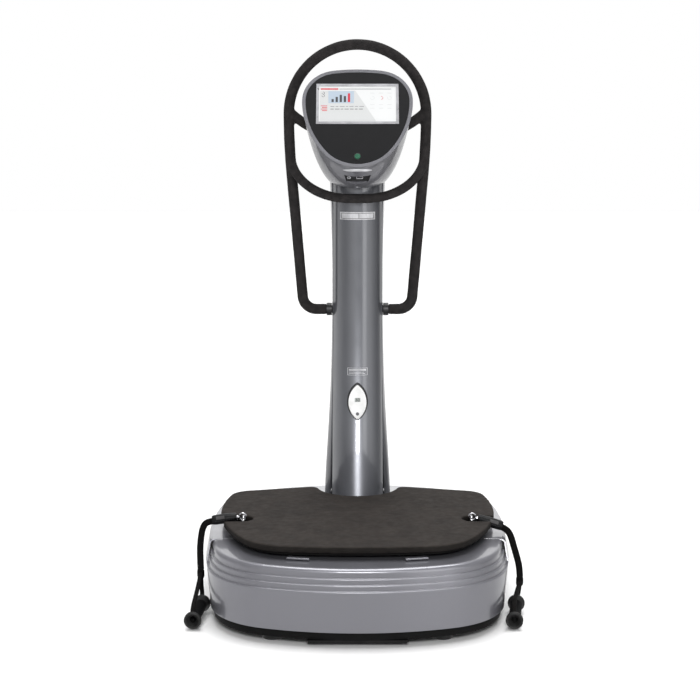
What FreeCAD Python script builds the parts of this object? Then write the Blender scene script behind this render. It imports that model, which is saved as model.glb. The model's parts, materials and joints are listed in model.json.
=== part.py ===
import FreeCAD, Part
import math
import os
import Sketcher
from FreeCAD import Placement, Rotation, Vector

# Vibration plate: a ring-shaped base with a sprung standing platform, a column
# with a handle loop and a tilted console, and two exercise straps.
# Millimetres, +Z up, front towards -Y, origin on the floor under the base.

DIMENSIONS = [
    # base covers
    ("base_half_width", 420, "widest half of the base covers"),
    ("base_half_depth", 447, "front and rear reach of the base covers"),
    ("base_front_radius", 770, "plan radius of the front"),
    ("base_side_radius", 1500, "plan radius of each side"),
    ("base_rear_radius", 720, "plan radius of the rear"),
    ("base_front_corner", 225, "plan radius of the front corners"),
    ("base_rear_corner", 270, "plan radius of the rear corners"),
    ("base_widest_y", 20, "where the base is widest"),
    ("cover_bottom", 42, "lower edge of the base covers"),
    ("band_top", 149, "top of the smooth tapered band"),
    ("band_lean", 8, "how far the band leans in at its foot"),
    ("rib_rise", 15, "height of one rib step"),
    ("rib_step", 6, "depth of one rib step"),
    ("cover_wall", 3, "wall of the base covers"),
    ("lip_reach", 130, "rim to inner lip of the base covers"),
    ("lip_top", 211, "height of the inner lip"),
    ("deck_front", 176, "front edge of the rear cover's deck"),
    # chassis
    ("tray_bottom", 20, "underside of the chassis tray"),
    ("tray_floor", 6, "floor of the chassis tray"),
    ("tray_wall", 6, "wall of the chassis tray"),
    ("tray_inset", 17, "tray edge inside the rim outline"),
    ("pan_bottom", 8, "underside of the belly pan"),
    ("foot_pad_radius", 26, "levelling foot pad"),
    ("foot_pad_height", 12, "levelling foot pad"),
    ("foot_stud_radius", 6, "levelling foot stud"),
    ("foot_front_x", 221, "front feet from the centre"),
    ("foot_front_y", -345, "front feet"),
    ("foot_rear_x", 235, "rear feet from the centre"),
    ("foot_rear_y", 335, "rear feet"),
    ("pedestal_radius", 28, "vibration mount pedestal"),
    ("pedestal_top", 155, "top of each pedestal"),
    ("mount_radius", 32, "rubber vibration mount"),
    ("mount_x", 235, "vibration mounts from the centre"),
    ("mount_front_y", -225, "front vibration mounts"),
    ("mount_rear_y", 110, "rear vibration mounts"),
    # platform
    ("mat_top", 245, "standing surface above the floor"),
    ("mat_thick", 18, "standing mat"),
    ("plate_thick", 8, "platform plate"),
    ("plate_inset", 12, "plate edge inside the mat edge"),
    ("mat_half_width", 382, "widest half of the mat"),
    ("mat_front", 362, "front reach of the mat"),
    ("mat_front_radius", 1500, "plan radius of the mat's front"),
    ("mat_side_radius", 620, "plan radius of the mat's sides"),
    ("mat_corner", 150, "front corner radius of the mat"),
    ("mat_rear_corner", 62, "rear outer corner radius of the mat"),
    ("mat_widest_y", 30, "where the mat is widest"),
    ("mat_rear_y", 259, "rear edge of the mat beside the column"),
    ("mat_rear_x", 145, "rear corner of the mat beside the column"),
    ("notch_radius", 119, "mat notch around the column"),
    ("column_y", 275, "centre of the column and of the handle loop"),
    ("slot_end", 287, "inner end of each strap slot"),
    ("slot_width", 58, "strap slot in the mat"),
    ("slot_y", -86, "strap slots"),
    ("plate_slot_end", 324, "inner end of each notch in the plate"),
    ("plate_slot_width", 46, "notch in the plate under each strap slot"),
    ("motor_x", 125, "motor axes from the centre"),
    ("motor_z", 150, "motor axes above the floor"),
    ("motor_radius", 52, "motor housing"),
    ("motor_length", 170, "motor housing"),
    ("motor_y", -45, "middle of the motors"),
    ("shaft_radius", 8, "rotor shaft"),
    ("shaft_fit", 0.05, "radial running fit of the shafts"),
    ("weight_radius", 42, "eccentric weight"),
    ("weight_width", 20, "eccentric weight"),
    # column
    ("post_half_width", 45, "steel post"),
    ("post_half_depth", 35, "steel post"),
    ("post_wall", 4, "steel post"),
    ("post_top", 1246, "top of the post"),
    ("front_cover_radius", 74, "column front cover"),
    ("front_cover_foot_radius", 80, "column front cover at its foot"),
    ("front_cover_axis_y", 279, "axis of the column front cover"),
    ("column_seam_y", 258, "seam between the column covers"),
    ("column_cover_foot", 212, "foot of the column covers"),
    ("flare_top", 700, "height where the front cover stops widening"),
    ("column_cover_top", 1180, "top of the column covers"),
    ("column_wall", 3, "wall of the column covers"),
    # handle
    ("tube_radius", 11, "steel handle tube"),
    ("tube_wall", 2, "steel handle tube"),
    ("foam_radius", 15.5, "foam on the loop"),
    ("crossbar_foam_radius", 13.5, "foam on the crossbar"),
    ("overall_top", 1550, "top of the handle loop"),
    ("arch_radius", 197, "centre line of the arch"),
    ("stub_z", 773.5, "horizontal stubs at the column"),
    ("stub_bend", 40, "bend between stub and side"),
    ("side_lean", 4.8, "lean of the lower sides, degrees"),
    ("side_bend", 2000, "gentle bend of the sides"),
    ("collar_radius", 18.5, "stub collar"),
    ("collar_inner_x", 75, "inner face of the stub collars"),
    ("collar_outer_x", 90, "outer face of the stub collars"),
    ("crossbar_radius", 170, "bend of the crossbar"),
    ("crossbar_turn", 80, "turn of each crossbar bend, degrees"),
    ("crossbar_z", 1202, "ends of the crossbar"),
    ("crossbar_tilt", 45, "tilt of the crossbar plane, degrees"),
    ("upper_bar_radius", 288, "bend of the upper bar"),
    ("upper_bar_z", 1268, "middle of the upper bar"),
    # console
    ("console_tilt", 33, "face tilted back from vertical, degrees"),
    ("console_y", 86, "foot of the bezel"),
    ("console_z", 1204, "foot of the bezel"),
    ("bezel_half_width", 146, "bezel"),
    ("bezel_height", 300, "bezel"),
    ("bezel_thick", 4, "bezel"),
    ("shell_rim", 10, "console shell around the bezel"),
    ("console_wall", 4, "console shell"),
    ("port_y", 132.5, "socket panel in the chin"),
    ("port_z", 1164.5, "socket panel in the chin"),
    ("port_tilt", 42, "degrees that the socket panel leans under the chin"),
    ("screen_width", 232, "screen frame"),
    ("screen_height", 132, "screen frame"),
    ("screen_up", 195, "screen centre above the bezel's foot"),
    ("screen_border", 7.5, "screen frame"),
    ("button_radius", 8, "start button"),
    ("button_up", 24, "start button above the bezel's foot"),
    # remote
    ("remote_z", 514, "middle of the remote"),
    ("cradle_half_height", 56, "remote cradle"),
    ("cradle_half_width", 30, "remote cradle"),
    ("cradle_front", 191, "face of the cradle"),
    ("remote_half_height", 51.5, "remote"),
    ("remote_half_width", 26, "remote"),
    ("remote_thick", 13, "remote"),
    # straps
    ("eye_x", 312, "eye bolts from the centre"),
    ("eye_y", -90, "eye bolts"),
    ("eye_ring_radius", 11, "eye bolt ring"),
    ("eye_wire_radius", 3.5, "eye bolt wire"),
    ("hook_ring_radius", 9, "snap hook ring"),
    ("hook_wire_radius", 2.5, "snap hook wire"),
    ("sleeve_radius", 12.5, "strap sleeve"),
    ("cord_radius", 7.5, "strap cord"),
    ("loop_cord_radius", 6, "handle loop cord"),
    ("splitter_radius", 12, "strap splitter"),
    ("handle_ring_radius", 23, "flared ends of the handles"),
    ("handle_core_radius", 12, "handle core"),
    ("handle_bore_radius", 9, "handle core bore"),
    ("grip_radius", 16, "foam grip"),
]

doc = FreeCAD.newDocument("VibrationPlate")
sheet = doc.addObject("Spreadsheet::Sheet", "Dims")
for row, (alias, value, note) in enumerate(DIMENSIONS, start=1):
    sheet.set("A%d" % row, note)
    sheet.set("B%d" % row, str(value))
    sheet.setAlias("B%d" % row, alias)
doc.recompute()

NODES = []
AXIS_X = Vector(1, 0, 0)
AXIS_Y = Vector(0, 1, 0)
AXIS_Z = Vector(0, 0, 1)


def size(alias):
    """One driving dimension, read from the sheet."""
    return float(sheet.get(alias))


def node(obj, name):
    """Marks an object as a sub-part of its own."""
    obj.Label = name
    NODES.append(obj)
    return obj


def bind(obj, **expressions):
    """Binds an object's properties to expressions in the sheet's names."""
    for prop, expression in expressions.items():
        obj.setExpression(prop.replace("__", "."), expression)
    return obj


def place(obj, x="0", y="0", z="0"):
    """Binds an object's position."""
    obj.setExpression("Placement.Base.x", x)
    obj.setExpression("Placement.Base.y", y)
    obj.setExpression("Placement.Base.z", z)
    return obj


def turn(obj, axis, degrees):
    """Turns an object about its own origin."""
    obj.Placement = Placement(obj.Placement.Base, Rotation(axis, degrees))
    return obj


def box(name, x0, x1, y0, y1, z0, z1):
    """A box between six bound faces."""
    obj = doc.addObject("Part::Box", name)
    bind(obj, Length="(%s) - (%s)" % (x1, x0), Width="(%s) - (%s)" % (y1, y0))
    bind(obj, Height="(%s) - (%s)" % (z1, z0))
    return place(obj, x0, y0, z0)


def cylinder(name, radius, height, x="0", y="0", z="0"):
    """An upright cylinder."""
    obj = doc.addObject("Part::Cylinder", name)
    bind(obj, Radius=radius, Height=height)
    return place(obj, x, y, z)


def cut(name, base, tool):
    obj = doc.addObject("Part::Cut", name)
    obj.Base = base
    obj.Tool = tool
    return obj


def common(name, base, tool):
    obj = doc.addObject("Part::Common", name)
    obj.Base = base
    obj.Tool = tool
    return obj


def fuse(name, *shapes):
    obj = doc.addObject("Part::MultiFuse", name)
    obj.Shapes = list(shapes)
    return obj


def group(name, *shapes):
    """Separate identical solids that share one node."""
    obj = doc.addObject("Part::Compound", name)
    obj.Links = list(shapes)
    return obj


def code_shape(name, shape):
    """A sub-part whose shape is worked out by Part's own functions."""
    obj = doc.addObject("Part::Feature", name)
    settled = shape.Placement
    obj.Shape = shape
    obj.Placement = settled
    return obj


def new_body(name):
    return doc.addObject("PartDesign::Body", name)


def sketch_on(body, name, role, lift=None):
    """A sketch on one of its body's own origin planes."""
    sketch = body.newObject("Sketcher::SketchObject", name)
    plane = [f for f in body.Origin.OriginFeatures if f.Role == role][0]
    sketch.AttachmentSupport = (plane, [""])
    sketch.MapMode = "FlatFace"
    if lift:
        sketch.setExpression("AttachmentOffset.Base.z", lift)
    return sketch


def bound_circle(sketch, expression, x=0.0, y=0.0):
    """A circle whose radius is bound."""
    index = sketch.addGeometry(Part.Circle(Vector(x, y, 0), AXIS_Z, 1.0))
    number = sketch.addConstraint(Sketcher.Constraint("Radius", index, 1.0))
    sketch.setExpression("Constraints[%d]" % number, expression)
    if x == 0 and y == 0:
        sketch.addConstraint(Sketcher.Constraint("Coincident", index, 3, -1, 1))
    return index


def arc_between(centre, radius, start, end, turn_left=True):
    """The arc about centre from the direction of start to that of end."""
    first = math.atan2(start[1] - centre[1], start[0] - centre[0])
    last = math.atan2(end[1] - centre[1], end[0] - centre[0])
    if not turn_left:
        first, last = last, first
    while last <= first:
        last += 2 * math.pi
    circle = Part.Circle(Vector(centre[0], centre[1], 0), AXIS_Z, radius)
    return Part.ArcOfCircle(circle, first, last)


def line(start, end):
    return Part.LineSegment(Vector(start[0], start[1], 0), Vector(end[0], end[1], 0))


def touching_centre(c1, d1, c2, d2, side):
    """The point at distance d1 from c1 and d2 from c2, on the given side of the line."""
    dx = c2[0] - c1[0]
    dy = c2[1] - c1[1]
    gap = math.hypot(dx, dy)
    along = (d1 * d1 - d2 * d2 + gap * gap) / (2 * gap)
    across = side * math.sqrt(d1 * d1 - along * along)
    return (c1[0] + (along * dx - across * dy) / gap,
            c1[1] + (along * dy + across * dx) / gap)


def beyond(centre, through, radius):
    """The point at radius from centre, in the direction of another point."""
    dx = through[0] - centre[0]
    dy = through[1] - centre[1]
    scale = radius / math.hypot(dx, dy)
    return (centre[0] + dx * scale, centre[1] + dy * scale)


def flip(point):
    return (-point[0], point[1])


def ring_arcs(half_width, front, rear, widest_y, radii, inset=0.0):
    """A closed outline of eight tangent arcs, starting at the front's middle.

    radii holds those of the front, front corner, side, rear corner and rear.
    """
    r_front, r_corner, r_side, r_back_corner, r_rear = radii
    c_front = (0, -front + r_front)
    c_side = (half_width - r_side, widest_y)
    c_rear = (0, rear - r_rear)
    c_corner = touching_centre(c_front, r_front - r_corner, c_side, r_side - r_corner, -1)
    c_back = touching_centre(c_side, r_side - r_back_corner, c_rear, r_rear - r_back_corner, -1)
    if c_corner[0] < 0:
        c_corner = touching_centre(c_front, r_front - r_corner, c_side, r_side - r_corner, 1)
    if c_back[0] < 0:
        c_back = touching_centre(c_side, r_side - r_back_corner, c_rear,
                                 r_rear - r_back_corner, 1)
    a = (0, -front + inset)
    b = beyond(c_front, c_corner, r_front - inset)
    c = beyond(c_side, c_corner, r_side - inset)
    d = beyond(c_side, c_back, r_side - inset)
    e = beyond(c_rear, c_back, r_rear - inset)
    return [
        arc_between(c_front, r_front - inset, a, b),
        arc_between(c_corner, r_corner - inset, b, c),
        arc_between(c_side, r_side - inset, c, d),
        arc_between(c_back, r_back_corner - inset, d, e),
        arc_between(c_rear, r_rear - inset, e, flip(e)),
        arc_between(flip(c_back), r_back_corner - inset, flip(e), flip(d)),
        arc_between(flip(c_side), r_side - inset, flip(d), flip(c)),
        arc_between(flip(c_corner), r_corner - inset, flip(c), flip(b)),
        arc_between(c_front, r_front - inset, flip(b), a),
    ]


def base_arcs(inset=0.0):
    """The plan outline of the base covers."""
    radii = [size(name) for name in (
        "base_front_radius", "base_front_corner", "base_side_radius",
        "base_rear_corner", "base_rear_radius")]
    reach = size("base_half_depth")
    return ring_arcs(size("base_half_width"), reach, reach, size("base_widest_y"),
                     radii, inset)


def mat_outline(inset=0.0):
    """The plan outline of the mat before its notch and slots are cut."""
    half = size("mat_half_width")
    r_front = size("mat_front_radius")
    r_corner = size("mat_corner")
    r_side = size("mat_side_radius")
    r_back = size("mat_rear_corner")
    c_front = (0, -size("mat_front") + r_front)
    c_side = (half - r_side, size("mat_widest_y"))
    c_corner = touching_centre(c_front, r_front - r_corner, c_side, r_side - r_corner, -1)
    if c_corner[0] < 0:
        c_corner = touching_centre(c_front, r_front - r_corner, c_side,
                                   r_side - r_corner, 1)
    # the rear edge falls away from the notch at a slight angle
    slope = math.radians(14)
    normal = (math.sin(slope), math.cos(slope))
    edge = (size("mat_rear_x"), size("mat_rear_y"))
    offset = edge[0] * normal[0] + edge[1] * normal[1]
    # the rear corner touches the side arc and the rear edge
    reach = offset - r_back
    foot = (normal[0] * reach, normal[1] * reach)
    along = (normal[1], -normal[0])
    dx = foot[0] - c_side[0]
    dy = foot[1] - c_side[1]
    b = dx * along[0] + dy * along[1]
    c = dx * dx + dy * dy - (r_side - r_back) ** 2
    step = -b + math.sqrt(b * b - c)
    c_back = (foot[0] + along[0] * step, foot[1] + along[1] * step)
    start = (0, -size("mat_front") + inset)
    p1 = beyond(c_front, c_corner, r_front - inset)
    p2 = beyond(c_side, c_corner, r_side - inset)
    p3 = beyond(c_side, c_back, r_side - inset)
    p4 = (c_back[0] + normal[0] * (r_back - inset), c_back[1] + normal[1] * (r_back - inset))
    # the rear edges of both sides run on to meet behind the column
    p5 = (0, (offset - inset) / normal[1])
    return [
        arc_between(c_front, r_front - inset, start, p1),
        arc_between(c_corner, r_corner - inset, p1, p2),
        arc_between(c_side, r_side - inset, p2, p3),
        arc_between(c_back, r_back - inset, p3, p4),
        line(p4, p5),
        line(p5, flip(p4)),
        arc_between(flip(c_back), r_back - inset, flip(p4), flip(p3)),
        arc_between(flip(c_side), r_side - inset, flip(p3), flip(p2)),
        arc_between(flip(c_corner), r_corner - inset, flip(p2), flip(p1)),
        arc_between(c_front, r_front - inset, flip(p1), start),
    ]


def outline_sketch(body, name, role, curves, lift=None):
    """A sketch of one closed outline."""
    sketch = sketch_on(body, name, role, lift)
    sketch.addGeometry(curves, False)
    return sketch


def pad(body, name, sketch, length):
    feature = body.newObject("PartDesign::Pad", name)
    feature.Profile = sketch
    bind(feature, Length=length)
    return feature


def pocket_through(body, name, sketch):
    """Cuts a sketch through the whole body, both ways."""
    feature = body.newObject("PartDesign::Pocket", name)
    feature.Profile = sketch
    feature.Type = "ThroughAll"
    feature.SideType = "Symmetric"
    return feature


def pocket_down(body, name, sketch, depth):
    feature = body.newObject("PartDesign::Pocket", name)
    feature.Profile = sketch
    bind(feature, Length=depth)
    return feature


def pipe(name, path_curves, role, outer, inner=None):
    """A round tube along a flat path drawn on one of its body's planes."""
    body = new_body(name)
    path = outline_sketch(body, name + "_path", role, path_curves)
    doc.recompute()
    profile = body.newObject("Sketcher::SketchObject", name + "_section")
    profile.AttachmentSupport = [(path, "Edge1")]
    profile.MapMode = "NormalToEdge"
    profile.MapPathParameter = 0.0
    bound_circle(profile, outer)
    if inner:
        bound_circle(profile, inner)
    feature = body.newObject("PartDesign::AdditivePipe", name + "_tube")
    feature.Profile = profile
    feature.Spine = (path, ["Edge%d" % (i + 1) for i in range(len(path_curves))])
    return body


def mirror_pair(make):
    """Builds a left and a right sub-part; the side is -1 on the left."""
    return [make("left", -1), make("right", 1)]


# Base covers ---------------------------------------------------------------

def cover_profile(ribbed):
    """The wall section of a base cover, in (inward from the rim, up)."""
    foot = size("cover_bottom")
    band = size("band_top")
    lean = size("band_lean")
    rise = size("rib_rise")
    step = size("rib_step") if ribbed else size("rib_step") * 0.5
    wall = size("cover_wall")
    lip = size("lip_reach")
    top = size("lip_top")
    round_edge = 3.0
    outer = [(lean, foot), (0, band)]
    curves = [line(outer[0], outer[1])]
    inward = 0.0
    height = band
    if ribbed:
        for rib in range(3):
            crest = (inward + round_edge, height)
            shelf = (inward + round_edge, height + round_edge)
            curves.append(arc_between(crest, round_edge, (inward, height), shelf, False))
            nook = (inward + step - 1.5, height + round_edge)
            curves.append(line(shelf, nook))
            turn_centre = (nook[0], nook[1] + 1.5)
            curves.append(arc_between(turn_centre, 1.5, nook, (inward + step, nook[1] + 1.5)))
            inward += step
            height += rise
            curves.append(line((inward, nook[1] + 1.5), (inward, height)))
    else:
        curves.append(line((0, band), (3 * step, band + 3 * rise)))
        inward = 3 * step
        height = band + 3 * rise
    # the broad rim rounds over into the gently rising top
    rim_radius = top - 5 - height
    centre = (inward + rim_radius, height)
    crown = (centre[0], height + rim_radius)
    curves.append(arc_between(centre, rim_radius, (inward, height), crown, False))
    lip_corner = (lip - round_edge, top)
    curves.append(line(crown, lip_corner))
    curves.append(arc_between((lip - round_edge, top - round_edge), round_edge, lip_corner,
                              (lip, top - round_edge), False))
    curves.append(line((lip, top - round_edge), (lip, top - 13)))
    curves.append(line((lip, top - 13), (lip - wall, top - 13)))
    curves.append(line((lip - wall, top - 13), (lip - wall, top - wall)))
    curves.append(line((lip - wall, top - wall), (centre[0], crown[1] - wall)))
    curves.append(arc_between(centre, rim_radius - wall, (centre[0], crown[1] - wall),
                              (inward + wall, height)))
    if ribbed:
        curves.append(line((inward + wall, height), (inward + wall, height - rise * 0.5)))
        curves.append(line((inward + wall, height - rise * 0.5), (wall + step, band)))
        curves.append(line((wall + step, band), (wall + 1.5, band - 12)))
        curves.append(line((wall + 1.5, band - 12), (lean + wall, foot)))
    else:
        curves.append(line((inward + wall, height), (wall, band)))
        curves.append(line((wall, band), (lean + wall, foot)))
    curves.append(line((lean + wall, foot), (lean, foot)))
    return curves


def cover_ring(arcs, ribbed):
    """A cover's wall, turned about the centre of each arc of the outline in turn."""
    curves = cover_profile(ribbed)
    pieces = []
    for arc in arcs:
        # the profile runs (inward, up); here inward becomes towards the arc's centre
        upright = FreeCAD.Matrix(-1, 0, 0, arc.Radius, 0, 0, 1, 0, 0, 1, 0, 0, 0, 0, 0, 1)
        wire = Part.Wire([curve.toShape() for curve in curves])
        face = Part.Face(wire.transformGeometry(upright))
        face.rotate(Vector(0, 0, 0), AXIS_Z, math.degrees(arc.FirstParameter))
        face.translate(arc.Center)
        swing = math.degrees(arc.LastParameter - arc.FirstParameter)
        pieces.append(face.revolve(arc.Center, AXIS_Z, swing))
    return pieces[0].multiFuse(pieces[1:]).removeSplitter()


def seam_polygon(front_side, gap):
    """The side-view region that one cover leaves to the other."""
    far = 600.0
    low = (-236 + gap, 0.0)
    mid = (-236 + gap, size("cover_bottom"))
    knee = (-181 + gap, size("band_top") - 6)
    top = (-138 + gap, size("lip_top") + 40)
    side = far if front_side else -far
    corners = [low, mid, knee, top, (side, top[1]), (side, 0.0)]
    return [line(corners[i], corners[(i + 1) % 6]) for i in range(6)]


def seam_region(front_side, gap):
    """The solid region on the far side of the seam."""
    upright = Rotation(Vector(1, 1, 1), 120)
    wire = Part.Wire([edge.toShape() for edge in seam_polygon(front_side, gap)])
    region = Part.Face(wire).extrude(Vector(0, 0, 1200))
    region.Placement = Placement(Vector(-600, 0, 0), upright)
    return region


def front_cover():
    """The ribbed front cover, its lip cut clear of the two front mounts."""
    arcs = base_arcs()
    ring = cover_ring([arcs[-3], arcs[-2], arcs[-1], arcs[0], arcs[1], arcs[2]], True)
    shell = ring.cut(seam_region(True, 0.0))
    for side in (-1, 1):
        place_low = Vector(side * size("mount_x"), size("mount_front_y"), size("band_top"))
        shell = shell.cut(Part.makeCylinder(size("mount_radius") + 5, 80, place_low))
    return node(code_shape("front_cover_shape", shell), "front_cover")


def rear_cover():
    """The smooth rear cover, with its deck round the column and its vents."""
    ring = cover_ring(base_arcs()[2:7], False)
    body = code_shape("rear_cover_ring", ring.cut(seam_region(False, 0.4)))
    deck_body = new_body("deck_body")
    deck = outline_sketch(deck_body, "deck_outline", "XY_Plane",
                          base_arcs(size("lip_reach") - 1.0), "Dims.lip_top - Dims.cover_wall")
    pad(deck_body, "deck_pad", deck, "Dims.cover_wall")
    half = "Dims.base_half_width"
    ahead = box("deck_ahead", "-" + half, half, "-2 * " + half, "Dims.deck_front", "0", "300")
    deck_rear = cut("deck_rear", deck_body, ahead)
    whole = fuse("rear_cover_whole", body, deck_rear)
    hole = box("deck_hole", "-Dims.post_half_width - 4", "Dims.post_half_width + 4",
               "Dims.column_y - Dims.post_half_depth - 4",
               "Dims.column_y + Dims.post_half_depth + 4", "150", "300")
    cutters = [hole]
    # louvre slots either side of the inlet panel
    for side in (-1, 1):
        for index in range(6):
            x = side * (120 + 16 * index)
            cutters.append(box("vent_%s_%d" % ("a" if side < 0 else "b", index),
                               "%g" % (x - 4), "%g" % (x + 4), "380", "480", "70", "125"))
    cutters.append(box("inlet_window", "-50", "50", "380", "480", "66", "124"))
    return node(cut("rear_cover_cut", whole, fuse("rear_cover_holes", *cutters)), "rear_cover")


def cover_clips():
    """Two latches on the front cover's top, just ahead of the mat."""
    clips = []
    for side in (-1, 1):
        body = box("clip_%d" % (side + 2), "-30", "30", "-9", "9", "0", "4.5")
        rounded = doc.addObject("Part::Fillet", "clip_round_%d" % (side + 2))
        rounded.Base = body
        doc.recompute()
        rounded.Edges = [(i + 1, 2.0, 2.0) for i, edge in enumerate(body.Shape.Edges)
                         if edge.CenterOfMass.z > body.Placement.Base.z + 4.4]
        holder = doc.addObject("Part::Compound", "clip_place_%d" % (side + 2))
        holder.Links = [rounded]
        holder.Placement = Placement(Vector(side * 152, -351, size("lip_top") + 0.2),
                                     Rotation(AXIS_Z, side * 11.5))
        clips.append(holder)
    return node(group("cover_clips_pair", *clips), "cover_clips")


# Chassis -------------------------------------------------------------------

def chassis_tray():
    body = new_body("chassis_tray_body")
    outline = outline_sketch(body, "tray_outline", "XY_Plane",
                             base_arcs(size("tray_inset")), "Dims.tray_bottom")
    pad(body, "tray_pad", outline, "Dims.cover_bottom - 0.5 - Dims.tray_bottom")
    doc.recompute()
    inner = outline_sketch(body, "tray_inner", "XY_Plane",
                           base_arcs(size("tray_inset") + size("tray_wall")),
                           "Dims.cover_bottom - 0.5")
    pocket_down(body, "tray_hollow", inner,
                "Dims.cover_bottom - 0.5 - Dims.tray_bottom - Dims.tray_floor")
    return node(body, "chassis_tray")


def belly_pan():
    """The shallow pan under the middle of the tray, with a bevelled front."""
    body = new_body("belly_pan_body")
    sketch = sketch_on(body, "pan_section", "YZ_Plane", "-128")
    low = size("pan_bottom")
    high = size("tray_bottom")
    corners = [(-428, high), (-418, low), (-190, low), (-180, high)]
    sketch.addGeometry([line(corners[i], corners[(i + 1) % 4]) for i in range(4)], False)
    pad(body, "pan_pad", sketch, "256")
    return node(body, "belly_pan")


def foot_places():
    for name in ("front", "rear"):
        for side in (-1, 1):
            yield ("%s_%s" % (name, "left" if side < 0 else "right"),
                   "%d * Dims.foot_%s_x" % (side, name), "Dims.foot_%s_y" % name)


def foot_pads():
    pads = []
    for name, x, y in foot_places():
        pads.append(cylinder("foot_pad_" + name, "Dims.foot_pad_radius",
                             "Dims.foot_pad_height", x, y))
    return node(group("foot_pads_set", *pads), "foot_pads")


def foot_studs():
    studs = []
    for name, x, y in foot_places():
        studs.append(cylinder("foot_stud_" + name, "Dims.foot_stud_radius",
                              "Dims.tray_bottom - Dims.foot_pad_height", x, y,
                              "Dims.foot_pad_height"))
    return node(group("foot_studs_set", *studs), "foot_studs")


def side_feet():
    """Rubber blocks under the front corners of the tray."""
    blocks = []
    for side in (-1, 1):
        x0 = "%d * 347 - 18" % side
        x1 = "%d * 347 + 18" % side
        blocks.append(box("side_foot_%d" % (side + 2), x0, x1, "-238", "-188", "0",
                          "Dims.tray_bottom"))
    return node(group("side_feet_pair", *blocks), "side_feet")


def mount_places():
    for name in ("front", "rear"):
        for side in (-1, 1):
            yield ("%s_%s" % (name, "left" if side < 0 else "right"),
                   "%d * Dims.mount_x" % side, "Dims.mount_%s_y" % name)


def mount_pedestals():
    posts = []
    for name, x, y in mount_places():
        posts.append(cylinder("pedestal_" + name, "Dims.pedestal_radius",
                              "Dims.pedestal_top - Dims.tray_bottom - Dims.tray_floor",
                              x, y, "Dims.tray_bottom + Dims.tray_floor"))
    return node(group("pedestals_set", *posts), "mount_pedestals")


def vibration_mounts():
    mounts = []
    underside = "Dims.mat_top - Dims.mat_thick - Dims.plate_thick"
    for name, x, y in mount_places():
        mounts.append(cylinder("mount_" + name, "Dims.mount_radius",
                               underside + " - Dims.pedestal_top", x, y,
                               "Dims.pedestal_top"))
    return node(group("mounts_set", *mounts), "vibration_mounts")


def power_unit():
    unit = box("power_unit_box", "-105", "105", "328", "408",
               "Dims.tray_bottom + Dims.tray_floor", "135")
    rounded = doc.addObject("Part::Fillet", "power_unit_round")
    rounded.Base = unit
    rounded.Edges = [(edge, 4.0, 4.0) for edge in (2, 4, 6, 8)]
    return node(rounded, "power_unit")


def inlet_panel():
    """The moulded panel in the rear cover's window, with its two openings."""
    block = box("inlet_block", "-49.7", "49.7", "412", "439", "66.3", "123.7")
    inlet = box("inlet_opening", "-38", "-4", "400", "450", "82", "109")
    switch = box("switch_opening", "12.7", "27.3", "400", "450", "83.7", "106.3")
    return node(cut("inlet_panel_cut", block, fuse("inlet_openings", inlet, switch)),
                "inlet_panel")


def power_inlet():
    """The three-pin mains inlet."""
    shell = box("inlet_shell", "-38", "-4", "415", "440.5", "82", "109")
    mouth = box("inlet_mouth", "-34", "-8", "421", "450", "86", "105")
    pins = []
    for index, (x, z) in enumerate(((-28, 92), (-21, 98), (-14, 92))):
        pins.append(box("inlet_pin_%d" % index, "%g" % (x - 1), "%g" % (x + 1),
                        "420", "433", "%g" % (z - 2.5), "%g" % (z + 2.5)))
    return node(fuse("power_inlet_whole", cut("inlet_cup", shell, mouth), *pins),
                "power_inlet")


def power_rocker():
    """The mains rocker, tipped to off; it turns about its middle."""
    body = new_body("power_rocker_body")
    sketch = sketch_on(body, "rocker_section", "YZ_Plane", "13.2")
    # the two halves of the face meet at a shallow angle
    corners = [(-4, -5), (0, -6), (3.0, -9.8), (4.6, 0), (6.2, 9.2), (0, 6), (-4, 5)]
    sketch.addGeometry([line(corners[i], corners[(i + 1) % 7]) for i in range(7)], False)
    pad(body, "rocker_pad", sketch, "13.6")
    body.Placement = Placement(Vector(0, 437, 95), Rotation())
    return node(body, "power_rocker")


# Platform ------------------------------------------------------------------

def notch_cut(body, name, extra):
    """Opens the round notch for the column."""
    sketch = sketch_on(body, name + "_circle", "XY_Plane", "Dims.mat_top")
    sketch.addGeometry(Part.Circle(Vector(0, size("column_y") - 3, 0), AXIS_Z,
                                   size("notch_radius") + extra), False)
    return pocket_through(body, name, sketch)


def strap_slots(body, name, slot_end, width):
    """Cuts a round-ended slot in from each side, for the straps."""
    slots = sketch_on(body, name, "XY_Plane", "Dims.mat_top")
    radius = width / 2
    y = size("slot_y")
    for side in (-1, 1):
        centre = (side * (slot_end + radius), y)
        outside = side * (size("mat_half_width") + 40)
        upper = (centre[0], y + radius)
        lower = (centre[0], y - radius)
        slots.addGeometry([
            line((outside, y + radius), upper),
            arc_between(centre, radius, upper, lower, side > 0),
            line(lower, (outside, y - radius)),
            line((outside, y - radius), (outside, y + radius)),
        ], False)
    pocket_through(body, name + "_cut", slots)


def platform_plate():
    body = new_body("platform_plate_body")
    outline = outline_sketch(body, "plate_outline", "XY_Plane",
                             mat_outline(size("plate_inset")),
                             "Dims.mat_top - Dims.mat_thick - Dims.plate_thick")
    pad(body, "plate_pad", outline, "Dims.plate_thick")
    doc.recompute()
    notch_cut(body, "plate_notch", size("plate_inset"))
    strap_slots(body, "plate_slots", size("plate_slot_end"), size("plate_slot_width"))
    return node(body, "platform_plate")


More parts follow.
